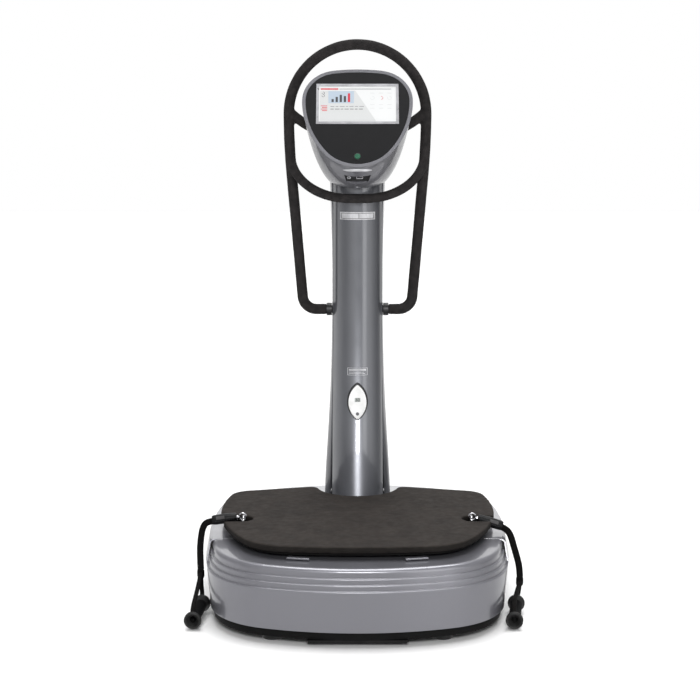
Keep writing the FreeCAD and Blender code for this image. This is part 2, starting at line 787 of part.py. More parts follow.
def standing_mat():
    body = new_body("standing_mat_body")
    outline = outline_sketch(body, "mat_outline", "XY_Plane", mat_outline(),
                             "Dims.mat_top - Dims.mat_thick")
    pad(body, "mat_pad", outline, "Dims.mat_thick")
    doc.recompute()
    notch_cut(body, "mat_notch", 0.0)
    strap_slots(body, "mat_slots", size("slot_end"), size("slot_width"))
    doc.recompute()
    edges = []
    top = size("mat_top")
    for index, edge in enumerate(body.Shape.Edges):
        if len(edge.Vertexes) != 2:
            continue
        first, last = (vertex.Point for vertex in edge.Vertexes)
        upright = abs(first.z - last.z) > size("mat_thick") - 0.5
        if upright and abs(abs(first.x) - 117) < 14 and first.y > 200:
            edges.append("Edge%d" % (index + 1))
    cut_mat = body.Tip
    corners = body.newObject("PartDesign::Fillet", "notch_corners")
    corners.Base = (cut_mat, edges)
    corners.Radius = 22
    doc.recompute()
    rim = []
    for index, edge in enumerate(body.Shape.Edges):
        if edge.BoundBox.ZMin > top - 0.01:
            rim.append("Edge%d" % (index + 1))
    softened = body.newObject("PartDesign::Fillet", "mat_edge")
    softened.Base = (corners, rim)
    softened.Radius = 2.5
    return node(body, "standing_mat")


def motor_housing(side_name, side):
    """A vibration motor: a finned barrel under a mounting saddle."""
    body = new_body("motor_housing_%s_body" % side_name)
    ring = sketch_on(body, "motor_ring_" + side_name, "XZ_Plane",
                     "-Dims.motor_length / 2")
    bound_circle(ring, "Dims.motor_radius")
    bound_circle(ring, "Dims.shaft_radius + Dims.shaft_fit")
    pad(body, "motor_barrel_" + side_name, ring, "Dims.motor_length")
    place(body, "%d * Dims.motor_x" % side, "Dims.motor_y", "Dims.motor_z")
    x = "%d * Dims.motor_x" % side
    saddle = box("motor_saddle_" + side_name, x + " - 40", x + " + 40",
                 "Dims.motor_y - 60", "Dims.motor_y + 60", "Dims.motor_z + 20",
                 "Dims.mat_top - Dims.mat_thick - Dims.plate_thick")
    bore = cylinder("motor_bore_" + side_name, "Dims.motor_radius - 12", "400", x,
                    "Dims.motor_y + 200", "Dims.motor_z")
    turn(bore, AXIS_X, 90)
    saddle_cut = cut("motor_saddle_cut_" + side_name, saddle, bore)
    return node(fuse("motor_housing_" + side_name + "_whole", body, saddle_cut),
                "motor_housing_" + side_name)


def motor_rotor(side_name, side):
    """A shaft with a half-round eccentric weight on each end."""
    x = "%d * Dims.motor_x" % side
    reach = "Dims.motor_length / 2 + Dims.weight_width + 6"
    shaft = cylinder("shaft_" + side_name, "Dims.shaft_radius",
                     "2 * (%s)" % reach, x, "Dims.motor_y + " + reach, "Dims.motor_z")
    turn(shaft, AXIS_X, 90)
    weights = []
    for end in (-1, 1):
        start = "Dims.motor_y + %d * (Dims.motor_length / 2 + Dims.weight_width / 2 + 2)" % end
        disc = cylinder("weight_%s_%d" % (side_name, end + 2), "Dims.weight_radius",
                        "Dims.weight_width", x, start + " + Dims.weight_width / 2",
                        "Dims.motor_z")
        turn(disc, AXIS_X, 90)
        disc.Angle = 180
        disc.Placement = Placement(disc.Placement.Base,
                                   Rotation(AXIS_X, 90) * Rotation(AXIS_Z, 180))
        weights.append(disc)
    return node(fuse("motor_rotor_%s_whole" % side_name, shaft, *weights),
                "motor_rotor_" + side_name)


# Column --------------------------------------------------------------------

def column_foot():
    """The welded flange that bolts the post to the tray, with side gussets."""
    floor = "Dims.tray_bottom + Dims.tray_floor"
    flange = box("flange", "-95", "95", "Dims.column_y - 52", "Dims.column_y + 52",
                 floor, floor + " + 12")
    gussets = []
    for side in (-1, 1):
        wedge = doc.addObject("Part::Wedge", "gusset_%d" % (side + 2))
        wedge.Xmin, wedge.Xmax, wedge.X2min, wedge.X2max = 0, 40, 0, 6
        wedge.Ymin, wedge.Ymax = 0, 80
        wedge.Zmin, wedge.Zmax, wedge.Z2min, wedge.Z2max = -4, 4, -4, 4
        base = Vector(side * size("post_half_width"), size("column_y"),
                      size("tray_bottom") + size("tray_floor") + 12)
        upright = Rotation(AXIS_X, 90)
        wedge.Placement = Placement(base, upright if side > 0
                                    else Rotation(AXIS_Z, 180) * upright)
        gussets.append(wedge)
    return node(fuse("column_foot_whole", flange, *gussets), "column_foot")


def column_bolts():
    bolts = []
    floor = "Dims.tray_bottom + Dims.tray_floor + 12"
    for index, (x, y) in enumerate(((-75, -38), (75, -38), (-75, 38), (75, 38))):
        prism = doc.addObject("Part::Prism", "bolt_head_%d" % index)
        prism.Polygon = 6
        prism.Circumradius = 10.5
        prism.Height = 8
        place(prism, "%g" % x, "Dims.column_y + %g" % y, floor)
        bolts.append(prism)
    return node(group("column_bolts_set", *bolts), "column_bolts")


def column_post():
    """The rectangular steel post, welded to the flange."""
    w = "Dims.post_half_width"
    d = "Dims.post_half_depth"
    low = "Dims.tray_bottom + Dims.tray_floor + 12"
    outer = box("post_outer", "-" + w, w, "Dims.column_y - " + d, "Dims.column_y + " + d,
                low, "Dims.post_top")
    inner = box("post_inner", "-%s + Dims.post_wall" % w, "%s - Dims.post_wall" % w,
                "Dims.column_y - %s + Dims.post_wall" % d,
                "Dims.column_y + %s - Dims.post_wall" % d, low + " - 1",
                "Dims.post_top - Dims.post_wall")
    return node(cut("column_post_cut", outer, inner), "column_post")


def column_front_cover():
    """The convex glossy cover, a little wider towards its foot."""
    body = new_body("column_front_cover_body")
    sketch = sketch_on(body, "front_cover_wall", "XZ_Plane")
    top_r = size("front_cover_radius")
    foot_r = size("front_cover_foot_radius")
    wall = size("column_wall")
    low = size("column_cover_foot")
    high = size("column_cover_top")
    middle = size("flare_top")
    sketch.addGeometry([
        line((foot_r, low), (top_r, middle)),
        line((top_r, middle), (top_r, high)),
        line((top_r, high), (top_r - wall, high)),
        line((top_r - wall, high), (top_r - wall, middle)),
        line((top_r - wall, middle), (foot_r - wall, low)),
        line((foot_r - wall, low), (foot_r, low)),
    ], False)
    turned = body.newObject("PartDesign::Revolution", "front_cover_turn")
    turned.Profile = sketch
    turned.ReferenceAxis = (sketch, ["V_Axis"])
    turned.Angle = 360
    doc.recompute()
    behind = sketch_on(body, "front_cover_back", "XY_Plane", "Dims.column_cover_top")
    back = size("column_seam_y") - size("front_cover_axis_y")
    corners = [(-150, back), (150, back), (150, 150), (-150, 150)]
    behind.addGeometry([line(corners[i], corners[(i + 1) % 4]) for i in range(4)], False)
    pocket_through(body, "front_cover_open", behind)
    place(body, "0", "Dims.front_cover_axis_y", "0")
    return node(body, "column_front_cover")


def mirrored(point):
    return Vector(-point.x, point.y, point.z)


def rear_section(height, half_width, inset=0.0):
    """One level of the column's rear cover: a closed plan outline."""
    seam = size("column_seam_y") + 0.3
    ease = 2 + 0.6 * (half_width - 73.8)
    widest = seam + 32
    bulge = (ease * ease + 32 * 32) / (2 * ease)
    corner = 38.0 + 0.4 * (half_width - 73.8)
    rear = widest + corner + 8 + 1.1 * (half_width - 73.8)
    w = half_width - inset
    edge = half_width - ease - inset
    r = corner - inset
    start = Vector(edge, seam, height)
    side_mid = math.asin(32 / bulge) / 2
    mid = Vector(half_width - bulge + (bulge - inset) * math.cos(side_mid),
                 widest - (bulge - inset) * math.sin(side_mid), height)
    side = Vector(w, widest, height)
    low = Vector(w, rear - corner, height)
    diag = math.sqrt(0.5)
    turn_mid = Vector(half_width - corner + r * diag, rear - corner + r * diag, height)
    back = Vector(half_width - corner, rear - inset, height)
    edges = [
        Part.Arc(start, mid, side).toShape(),
        Part.LineSegment(side, low).toShape(),
        Part.Arc(low, turn_mid, back).toShape(),
        Part.LineSegment(back, mirrored(back)).toShape(),
        Part.Arc(mirrored(back), mirrored(turn_mid), mirrored(low)).toShape(),
        Part.LineSegment(mirrored(low), mirrored(side)).toShape(),
        Part.Arc(mirrored(side), mirrored(mid), mirrored(start)).toShape(),
        Part.LineSegment(mirrored(start), start).toShape(),
    ]
    return Part.Wire(edges)


def column_rear_cover():
    """The side and rear cover, waisted at mid height and flared at its foot."""
    levels = [
        (size("column_cover_foot"), 98.0),
        (350.0, 91.0),
        (545.0, 80.0),
        (735.0, 75.0),
        (860.0, 73.9),
        (1040.0, 76.7),
        (size("column_cover_top"), 80.5),
    ]
    wall = size("column_wall")
    outer = Part.makeLoft([rear_section(z, w) for z, w in levels], True, False)
    inner_levels = [(levels[0][0] - 20, levels[0][1] + 1)] + levels[1:-1]
    inner_levels.append((levels[-1][0] + 20, levels[-1][1] + 0.5))
    inner = Part.makeLoft([rear_section(z, w, wall) for z, w in inner_levels], True, False)
    shell = outer.cut(inner)
    for side in (-1, 1):
        hole = Part.makeCylinder(size("tube_radius") + 0.6, 80,
                                 Vector(side * 40, size("column_y"), size("stub_z")),
                                 Vector(side, 0, 0))
        shell = shell.cut(hole)
    return node(code_shape("column_rear_cover_shape", shell), "column_rear_cover")


def label_plate():
    """A plain curved rating plate on the front cover."""
    outer = cylinder("label_outer", "Dims.front_cover_radius + 0.9", "22", "0",
                     "Dims.front_cover_axis_y", "1040")
    inner = cylinder("label_inner", "Dims.front_cover_radius", "22", "0",
                     "Dims.front_cover_axis_y", "1040")
    span = box("label_span", "-50", "50", "Dims.front_cover_axis_y - 100",
               "Dims.front_cover_axis_y", "1040", "1062")
    return node(common("label_common", cut("label_ring", outer, inner), span),
                "label_plate")


# Handle --------------------------------------------------------------------

def loop_path(start_x):
    """The handle loop from one stub up over the arch to the other, in (x, z)."""
    arch = size("arch_radius")
    arch_z = size("overall_top") - size("foam_radius") - arch
    bend = size("side_bend")
    lean = math.radians(size("side_lean"))
    low = size("stub_z")
    corner = size("stub_bend")
    side_centre = (arch - bend, arch_z)
    bend_end = (side_centre[0] + bend * math.cos(lean), arch_z - bend * math.sin(lean))
    # the lower side runs straight to the corner above the stub
    corner_z = low + corner - corner * math.sin(lean)
    drop = (bend_end[1] - corner_z) / math.cos(lean)
    side_end = (bend_end[0] - drop * math.sin(lean), corner_z)
    corner_centre = (side_end[0] - corner * math.cos(lean), low + corner)
    stub_end = (corner_centre[0], low)
    right = [
        line((start_x, low), stub_end),
        arc_between(corner_centre, corner, stub_end, side_end),
        line(side_end, bend_end),
        arc_between(side_centre, bend, bend_end, (arch, arch_z)),
    ]
    left = [
        arc_between(flip(side_centre), bend, (-arch, arch_z), flip(bend_end)),
        line(flip(bend_end), flip(side_end)),
        arc_between(flip(corner_centre), corner, flip(side_end), flip(stub_end)),
        line(flip(stub_end), (-start_x, low)),
    ]
    over = arc_between((0, arch_z), arch, (arch, arch_z), (-arch, arch_z))
    return right + [over] + left


def loop_tube(name, start, outer, inner=None):
    body = pipe(name, loop_path(size(start)), "XZ_Plane", outer, inner)
    return place(body, "0", "Dims.column_y", "0")


def crossbar_path():
    radius = size("crossbar_radius")
    swing = math.radians(size("crossbar_turn"))
    reach = radius * math.sin(swing)
    depth = radius * (1 - math.cos(swing))
    end = (190.0, 0.0)
    flat = end[0] - reach
    centre = (flat, radius - depth)
    return [
        arc_between(flip(centre), radius, flip(end), (-flat, -depth)),
        line((-flat, -depth), (flat, -depth)),
        arc_between(centre, radius, (flat, -depth), end),
    ]


def crossbar_tube(name, outer, inner=None):
    """The crossbar bows forward and down from the sides of the loop."""
    body = pipe(name, crossbar_path(), "XY_Plane", outer, inner)
    body.Placement = Placement(Vector(0, size("column_y"), size("crossbar_z")),
                               Rotation(AXIS_X, size("crossbar_tilt")))
    return body


def upper_bar_tube(name, outer, inner=None):
    """The bar that dips behind the console and holds the column's head."""
    radius = size("upper_bar_radius")
    reach = size("arch_radius") - 4
    angle = math.asin(reach / radius)
    middle = size("upper_bar_z")
    centre = (0, middle + radius)
    end = (reach, middle + radius * (1 - math.cos(angle)))
    body = pipe(name, [arc_between(centre, radius, flip(end), end)], "XZ_Plane", outer, inner)
    return place(body, "0", "Dims.column_y", "0")


STEEL = "Dims.tube_radius"
STEEL_BORE = "Dims.tube_radius - Dims.tube_wall"


def handle_frame():
    """The welded steel frame: loop, crossbar and upper bar."""
    loop = loop_tube("frame_loop", "post_half_width", STEEL, STEEL_BORE)
    bore = loop_tube("frame_loop_bore", "post_half_width", STEEL_BORE)
    crossbar = crossbar_tube("frame_crossbar", STEEL, STEEL_BORE)
    upper = upper_bar_tube("frame_upper_bar", STEEL, STEEL_BORE)
    bars = cut("frame_bars", fuse("frame_bars_whole", crossbar, upper), bore)
    return node(fuse("handle_frame_whole", loop, bars), "handle_frame")


def foam_loop():
    """Foam along the whole loop, opened where the two bars join it."""
    foam = loop_tube("foam_loop_tube", "collar_outer_x", "Dims.foam_radius", STEEL)
    crossbar = crossbar_tube("foam_loop_crossbar", STEEL)
    upper = upper_bar_tube("foam_loop_upper", STEEL)
    return node(cut("foam_loop_cut", foam, fuse("foam_loop_bars", crossbar, upper)),
                "foam_loop")


def foam_crossbar():
    foam = crossbar_tube("foam_crossbar_tube", "Dims.crossbar_foam_radius", STEEL)
    solid_loop = loop_tube("foam_crossbar_loop", "collar_outer_x", "Dims.foam_radius")
    return node(cut("foam_crossbar_cut", foam, solid_loop), "foam_crossbar")


def foam_upper_bar():
    """Foam on the upper bar, from the loop to the console's sides."""
    foam = upper_bar_tube("foam_upper_tube", "Dims.crossbar_foam_radius + 1", STEEL)
    solid_loop = loop_tube("foam_upper_loop", "collar_outer_x", "Dims.foam_radius")
    middle = box("foam_upper_middle", "-118", "118", "Dims.column_y - 60",
                 "Dims.column_y + 60", "1200", "1500")
    return node(cut("foam_upper_cut", foam, fuse("foam_upper_cutters", solid_loop, middle)),
                "foam_upper_bar")


def stub_collars():
    """A collar where each stub enters the column."""
    collars = []
    for side in (-1, 1):
        name = "collar_%d" % (side + 2)
        ring = doc.addObject("Part::Cylinder", name + "_ring")
        bind(ring, Radius="Dims.collar_radius",
             Height="Dims.collar_outer_x - Dims.collar_inner_x")
        bore = doc.addObject("Part::Cylinder", name + "_bore")
        bind(bore, Radius=STEEL, Height="60")
        for piece in (ring, bore):
            place(piece, "%d * Dims.collar_inner_x" % side, "Dims.column_y", "Dims.stub_z")
            turn(piece, AXIS_Y, 90 * side)
        collars.append(cut(name, ring, bore))
    return node(group("stub_collars_pair", *collars), "stub_collars")


def head_clamp():
    """The saddle that joins the post's top to the upper bar."""
    block = box("clamp_block", "-32", "32", "Dims.column_y - 24", "Dims.column_y + 24",
                "Dims.post_top", "Dims.upper_bar_z + 20")
    rod = upper_bar_tube("clamp_rod", STEEL)
    return node(cut("head_clamp_cut", block, rod), "head_clamp")


# Console -------------------------------------------------------------------

def shield(half_width, height, foot_radius, widest, corner_radius):
    """A shield outline of tangent arcs, its foot at the origin, in (x, up)."""
    side = ((half_width ** 2 + (widest - foot_radius) ** 2 - foot_radius ** 2)
            / (2 * (half_width - foot_radius)))
    rise = height - widest
    crown = (((half_width - corner_radius) ** 2 + rise ** 2 - corner_radius ** 2)
             / (2 * (rise - corner_radius)))
    c_foot = (0, foot_radius)
    c_side = (half_width - side, widest)
    c_corner = (half_width - corner_radius, widest)
    c_crown = (0, height - crown)
    foot_end = beyond(c_side, c_foot, side)
    side_end = (half_width, widest)
    corner_end = beyond(c_crown, c_corner, crown)
    return [
        arc_between(c_foot, foot_radius, flip(foot_end), foot_end),
        arc_between(c_side, side, foot_end, side_end),
        arc_between(c_corner, corner_radius, side_end, corner_end),
        arc_between(c_crown, crown, corner_end, flip(corner_end)),
        arc_between(flip(c_corner), corner_radius, flip(corner_end), flip(side_end)),
        arc_between(flip(c_side), side, flip(side_end), flip(foot_end)),
    ]


def console_place(up=0.0, out=0.0):
    """A placement on the console's face: x across, y up the face, z out of it."""
    slope = math.radians(90 - size("console_tilt"))
    base = Vector(0, size("console_y") + up * math.cos(slope) - out * math.sin(slope),
                  size("console_z") + up * math.sin(slope) + out * math.cos(slope))
    return Placement(base, Rotation(AXIS_X, 90 - size("console_tilt")))


def shield_wire(outline, placement):
    wire = Part.Wire([curve.toShape() for curve in outline])
    wire.Placement = placement
    return wire


def bezel_shield(grow=0.0):
    """The bezel's outline, or one that runs outside it."""
    return shield(size("bezel_half_width") + grow, size("bezel_height") + 2 * grow,
                  112 + grow, 206.4 + grow, 90 + grow)


def ring_points(outline):
    """Points round a shield outline, the same number on each of its arcs."""
    points = []
    for curve, count in zip(outline, (8, 6, 6, 8, 6, 6)):
        points += curve.toShape().discretize(count + 1)[:-1]
    return points


def shell_ring(outline, placement):
    """A shield outline drawn as one smooth closed spline."""
    points = ring_points(outline)
    # the rim's spacing on every level keeps the loft free of creases
    rim = ring_points(bezel_shield(size("shell_rim")))
    spans = [0.0]
    for a, b in zip(rim, rim[1:] + rim[:1]):
        spans.append(spans[-1] + a.distanceToPoint(b))
    ring = Part.BSplineCurve()
    ring.interpolate(Points=points, PeriodicFlag=True, Parameters=spans)
    wire = Part.Wire([ring.toShape()])
    wire.Placement = placement
    return wire


# The shell's levels behind its face. For each: the shield's half width, height, foot
# radius, widest point and corner radius; its foot's y and z; its tilt; and how far
# the inner skin's foot moves back and up for each mm of wall.
SHELL_LEVELS = [
    ((134, 276, 106, 178, 84), (134, 1153), 42, (0.6, 0.8)),
    ((103, 205, 88, 118, 70), (176, 1132), 27, (0.9, 0.3)),
    ((87, 163, 81, 92, 60), (196.5, 1131), 16, (1.0, -1.0)),
]


def console_sections(wall):
    """The console shell's levels, fanned from its face down to the column."""
    rim = -3.0 if wall else size("shell_rim")
    rings = [shell_ring(bezel_shield(rim), console_place(-rim, 2.0 if wall else 0.0))]
    for (half_width, height, foot, widest, corner), (y, z), tilt, shift in SHELL_LEVELS:
        outline = shield(half_width - wall, height - 2 * wall, foot - wall,
                         widest - wall, corner - wall)
        low_point = Vector(0, y + wall * shift[0], z + wall * shift[1])
        rings.append(shell_ring(outline, Placement(low_point, Rotation(AXIS_X, tilt))))
    return rings


def console_shell():
    """The hollow grey housing, open at its face and at the column."""
    wall = size("console_wall")
    outer = Part.makeLoft(console_sections(0.0), True, False)
    inner = Part.makeLoft(console_sections(wall), True, False)
    bezel_room = Part.Face(shield_wire(
        bezel_shield(0.3), console_place(-0.3, -size("bezel_thick") - 0.3)))
    slope = console_place().Rotation.multVec(AXIS_Z)
    overlap = 70.0
    column_room = Part.Face(rear_section(size("column_cover_top") - overlap, 81.2))
    shell = outer.cut(inner)
    shell = shell.cut(bezel_room.extrude(slope * 20))
    shell = shell.cut(column_room.extrude(Vector(0, 0, overlap + 0.5)))
    shell = shell.cut(upper_rod.Shape)
    shell = shell.cut(port_room.Shape)
    return node(code_shape("console_shell_shape", shell), "console_shell")


def console_bezel():
    """The dark face plate, with the screen's window and the button's hole."""
    plate = Part.Face(shield_wire(bezel_shield(), console_place(0.0, -size("bezel_thick"))))
    out = console_place().Rotation.multVec(AXIS_Z)
    plate = plate.extrude(out * size("bezel_thick"))
    window = Part.makeBox(size("screen_width"), size("screen_height"), 30,
                          Vector(-size("screen_width") / 2, -size("screen_height") / 2, -15))
    window.Placement = console_place(size("screen_up")) * window.Placement
    hole = Part.makeCylinder(size("button_radius") + 0.4, 30, Vector(0, 0, -15))
    hole.Placement = console_place(size("button_up"))
    return node(code_shape("console_bezel_shape", plate.cut(window).cut(hole)),
                "console_bezel")


def console_block(name, width, height, z0, z1, up):
    """A bound box lying on the console's face, centred across it."""
    obj = doc.addObject("Part::Box", name)
    bind(obj, Length=width, Width=height, Height="(%s) - (%s)" % (z1, z0))
    doc.recompute()
    corner = Vector(-obj.Length.Value / 2, -obj.Width.Value / 2, float(z0))
    obj.Placement = console_place(up) * Placement(corner, Rotation())
    return obj


def screen_frame():
    rim = console_block("screen_rim", "Dims.screen_width", "Dims.screen_height",
                        "-8", "1.2", size("screen_up"))
    room = console_block("screen_room", "Dims.screen_width - 2*Dims.screen_border",
                         "Dims.screen_height - 2*Dims.screen_border", "-20", "5",
                         size("screen_up"))
    return node(cut("screen_frame_cut", rim, room), "screen_frame")


def screen_panel():
    return node(console_block("screen_panel_box", "Dims.screen_width - 2*Dims.screen_border",
                              "Dims.screen_height - 2*Dims.screen_border", "-8", "-0.6",
                              size("screen_up")), "screen_panel")


def screen_board():
    """The circuit board behind the screen."""
    return node(console_block("screen_board_box", "200", "110", "-22", "-14",
                              size("screen_up")), "screen_board")


def start_button():
    obj = doc.addObject("Part::Cylinder", "start_button_disc")
    bind(obj, Radius="Dims.button_radius", Height="8")
    obj.Placement = console_place(size("button_up"), -6.0)
    return node(obj, "start_button")


def port_placement():
    """On the chin's sloping underside, facing down and forward."""
    return Placement(Vector(0, size("port_y"), size("port_z")),
                     Rotation(AXIS_X, -size("port_tilt")))


def port_outline(grow):
    wide = 37 + grow
    narrow = 31 + grow
    deep = 13 + grow
    corners = [(-narrow, deep), (-wide, -deep), (wide, -deep), (narrow, deep)]
    return [line(corners[i], corners[(i + 1) % 4]).toShape() for i in range(4)]


def port_solid(grow, z0, z1):
    face = Part.Face(Part.Wire(port_outline(grow)))
    face.translate(Vector(0, 0, z0))
    solid = face.extrude(Vector(0, 0, z1 - z0))
    solid.Placement = port_placement() * solid.Placement
    return solid


def port_block():
    """The dark recessed panel that holds the sockets."""
    solid = port_solid(0.0, -3.0, 7.0)
    recess = port_solid(-3.0, -6.0, 0.0)
    socket = Part.makeBox(14, 6.5, 30, Vector(-1, -5, -8))
    jack = Part.makeCylinder(3.2, 30, Vector(-24, 0, -8))
    for tool in (socket, jack):
        tool.Placement = port_placement() * tool.Placement
        recess = recess.fuse(tool)
    return node(code_shape("port_block_shape", solid.cut(recess)), "port_block")


def usb_socket():
    """A metal socket shell with its tongue."""
    shell = Part.makeBox(14, 6.5, 10, Vector(-1, -5, -1.5))
    mouth = Part.makeBox(12.6, 5.1, 10, Vector(-0.3, -4.3, -4.0))
    tongue = Part.makeBox(11, 1.8, 6, Vector(0.5, -2.6, 0.0))
    solid = shell.cut(mouth).fuse(tongue)
    solid.Placement = port_placement() * solid.Placement
    return node(code_shape("usb_socket_shape", solid), "usb_socket")


# Remote --------------------------------------------------------------------

def almond(half_width, half_height):
    """A pointed oval of two arcs, in (x, z), rounded a little at its tips."""
    radius = (half_width ** 2 + half_height ** 2) / (2 * half_width)
    tip = 6.0
    # the tip arcs touch both sides
    reach = math.sqrt((radius - tip) ** 2 - (radius - half_width) ** 2)
    c_right = (half_width - radius, 0)
    c_tip = (0, reach)
    top_right = beyond(c_right, c_tip, radius)
    top_left = flip(top_right)
    low_right = (top_right[0], -top_right[1])
    low_left = flip(low_right)
    return [
        arc_between(c_right, radius, low_right, top_right),
        arc_between(c_tip, tip, top_right, top_left),
        arc_between(flip(c_right), radius, top_left, low_left),
        arc_between((0, -reach), tip, low_left, low_right),
    ]


def almond_body(name, half_width, half_height, front, length):
    """An almond plate that runs back from its front face."""
    body = new_body(name)
    sketch = outline_sketch(body, name + "_outline", "XZ_Plane",
                            almond(size(half_width), size(half_height)))
    pad(body, name + "_pad", sketch, length)
    body.Tip.Reversed = True
    place(body, "0", front, "Dims.remote_z")
    return body


def remote_cradle():
    """The dark cradle, its back shaped to the column's front cover."""
    body = almond_body("cradle_body", "cradle_half_width", "cradle_half_height",
                       "Dims.cradle_front", "30")
    cone = doc.addObject("Part::Cone", "cradle_back")
    bind(cone, Radius1="Dims.front_cover_foot_radius",
         Radius2="Dims.front_cover_radius", Height="Dims.flare_top - Dims.column_cover_foot")
    place(cone, "0", "Dims.front_cover_axis_y", "Dims.column_cover_foot")
    return node(cut("remote_cradle_cut", body, cone), "remote_cradle")


def remote_shell():
    """The white handset, with a softened face and pockets for its fittings."""
    body = almond_body("remote_body", "remote_half_width", "remote_half_height",
                       "Dims.cradle_front - Dims.remote_thick", "Dims.remote_thick")
    doc.recompute()
    front = size("cradle_front") - size("remote_thick")
    edges = ["Edge%d" % (i + 1) for i, edge in enumerate(body.Shape.Edges)
             if edge.BoundBox.YMax < front + 0.01]
    plain = body.Tip
    soft = body.newObject("PartDesign::Fillet", "remote_soft")
    soft.Base = (plain, edges)
    soft.Radius = 4
    window = box("remote_window", "-8", "8", "Dims.cradle_front - Dims.remote_thick - 1",
                 "Dims.cradle_front - Dims.remote_thick + 2", "Dims.remote_z + 2",
                 "Dims.remote_z + 14")
    hole = cylinder("remote_hole", "4.8", "7", "0",
                    "Dims.cradle_front - Dims.remote_thick + 6", "Dims.remote_z - 33")
    turn(hole, AXIS_X, 90)
    return node(cut("remote_shell_cut", body, fuse("remote_pockets", window, hole)),
                "remote_shell")


def remote_display():
    return node(box("remote_display_box", "-8", "8",
                    "Dims.cradle_front - Dims.remote_thick + 0.2",
                    "Dims.cradle_front - Dims.remote_thick + 2", "Dims.remote_z + 2",
                    "Dims.remote_z + 14"), "remote_display")


def remote_button():
    obj = cylinder("remote_button_disc", "4.5", "5.6", "0",
                   "Dims.cradle_front - Dims.remote_thick + 4.2", "Dims.remote_z - 33")
    turn(obj, AXIS_X, 90)
    return node(obj, "remote_button")


# Straps --------------------------------------------------------------------

# Each cord's route is a list of points; the tube follows them in straight runs
# joined by tangent arcs.
STRAP_ROUTES = {
    "left": [
        (-397, -90, 237.4), (-413, -90, 235.6), (-424, -92, 221), (-429, -97, 194),
        (-431, -104.5, 166), (-430, -114, 139), (-428, -124, 112.5),
    ],
    "right": [
        (394, -103, 224.5), (408, -106, 219), (419, -109.5, 202), (426, -113.5, 177),
        (434, -118, 150), (442, -123, 121), (443.5, -128, 92),
    ],
}
LOOP_ROUTES = {
    "left": [
        (-434, -294, 47), (-434, -279, 56), (-433, -246, 65), (-431, -203, 76),
        (-429, -166, 89), (-428, -144, 98), (-428, -129, 102), (-428, -118, 92),
        (-428, -116, 77), (-427, -121, 62), (-424.5, -133, 51), (-423, -145, 46),
        (-422, -156, 44),
    ],
    "right": [
        (412, -294, 47), (413, -279, 55), (417, -247, 61), (425, -205, 66),
        (434, -168, 71.5), (440, -146, 77), (443, -131, 81), (444, -120, 71),
        (443, -119, 57), (440, -129, 46), (436, -143, 43), (432.5, -156, 42.5),
    ],
}
HANDLES = {
    "left": ((-434, -303, 27), (-422, -152, 27)),
    "right": ((412, -303, 27), (432, -154, 28)),
}
SPLITTERS = {"left": (-428, -125, 100), "right": (443, -128, 80)}


def route_tube(name, points, radius):
    """A round cord along straight runs joined by tangent arcs."""
    stops = [Vector(*p) for p in points]
    edges = []
    radii = []
    last = stops[0]
    for before, here, after in zip(stops, stops[1:], stops[2:]):
        into = (here - before).normalize()
        away = (after - here).normalize()
        half = into.getAngle(away) / 2
        trim = 0.45 * min(before.distanceToPoint(here), here.distanceToPoint(after))
        radii.append(trim / math.tan(half))
        begin = here - into * trim
        end = here + away * trim
        bisector = (away - into).normalize()
        sag = radii[-1] * (1 / math.cos(half) - 1)
        edges.append(Part.LineSegment(last, begin).toShape())
        edges.append(Part.Arc(begin, here + bisector * sag, end).toShape())
        last = end
    edges.append(Part.LineSegment(last, stops[-1]).toShape())
    path = Part.Wire(edges)
    start = (stops[1] - stops[0]).normalize()
    section = Part.Wire([Part.Circle(stops[0], start, radius).toShape()])
    tube = path.makePipeShell([section], True, False)
    expected = math.pi * radius ** 2 * path.Length
    print("%s: length %.0f mm, volume ratio %.3f, arc radii %s" % (
        name, path.Length, tube.Volume / expected, " ".join("%.0f" % r for r in radii)))
    return node(code_shape(name + "_shape", tube), name)


def eye_bolt(side_name, side):
    """A forged eye standing on the platform plate inside the mat's slot."""
    plate_top = "Dims.mat_top - Dims.mat_thick"
    ring = doc.addObject("Part::Torus", "eye_ring_" + side_name)
    bind(ring, Radius1="Dims.eye_ring_radius", Radius2="Dims.eye_wire_radius")
    place(ring, "%d * Dims.eye_x" % side, "Dims.eye_y",
          plate_top + " + Dims.eye_ring_radius + 2")
    turn(ring, AXIS_Y, 90)
    boss = cylinder("eye_boss_" + side_name, "9", "4", "%d * Dims.eye_x" % side,
                    "Dims.eye_y", plate_top)
    below = box("eye_below_" + side_name, "-500", "500", "-200", "0", "100", plate_top)
    return node(cut("eye_bolt_%s_cut" % side_name, fuse("eye_whole_" + side_name, ring, boss),
                    below), "eye_bolt_" + side_name)


def strap_hook(side_name, side):
    """The snap hook: a ring through the eye and a shank into the sleeve."""
    link = Vector(side * size("eye_x"), size("eye_y"),
                  size("mat_top") - size("mat_thick") + 2 + 2 * size("eye_ring_radius"))
    start = Vector(*STRAP_ROUTES[side_name][0])
    away = (start - link).normalize()
    ring_r = size("hook_ring_radius")
    wire_r = size("hook_wire_radius")
    centre = link + away * 2.4
    ring = Part.makeTorus(ring_r, wire_r, centre, AXIS_Y)
    shank = Part.makeCylinder(4, 30, centre + away * (ring_r + wire_r - 1.0), away)
    collar = Part.makeCylinder(6, 4, centre + away * (ring_r + wire_r + 1.0), away)
    return node(code_shape("strap_hook_%s_shape" % side_name,
                           ring.fuse(shank).fuse(collar)), "strap_hook_" + side_name)


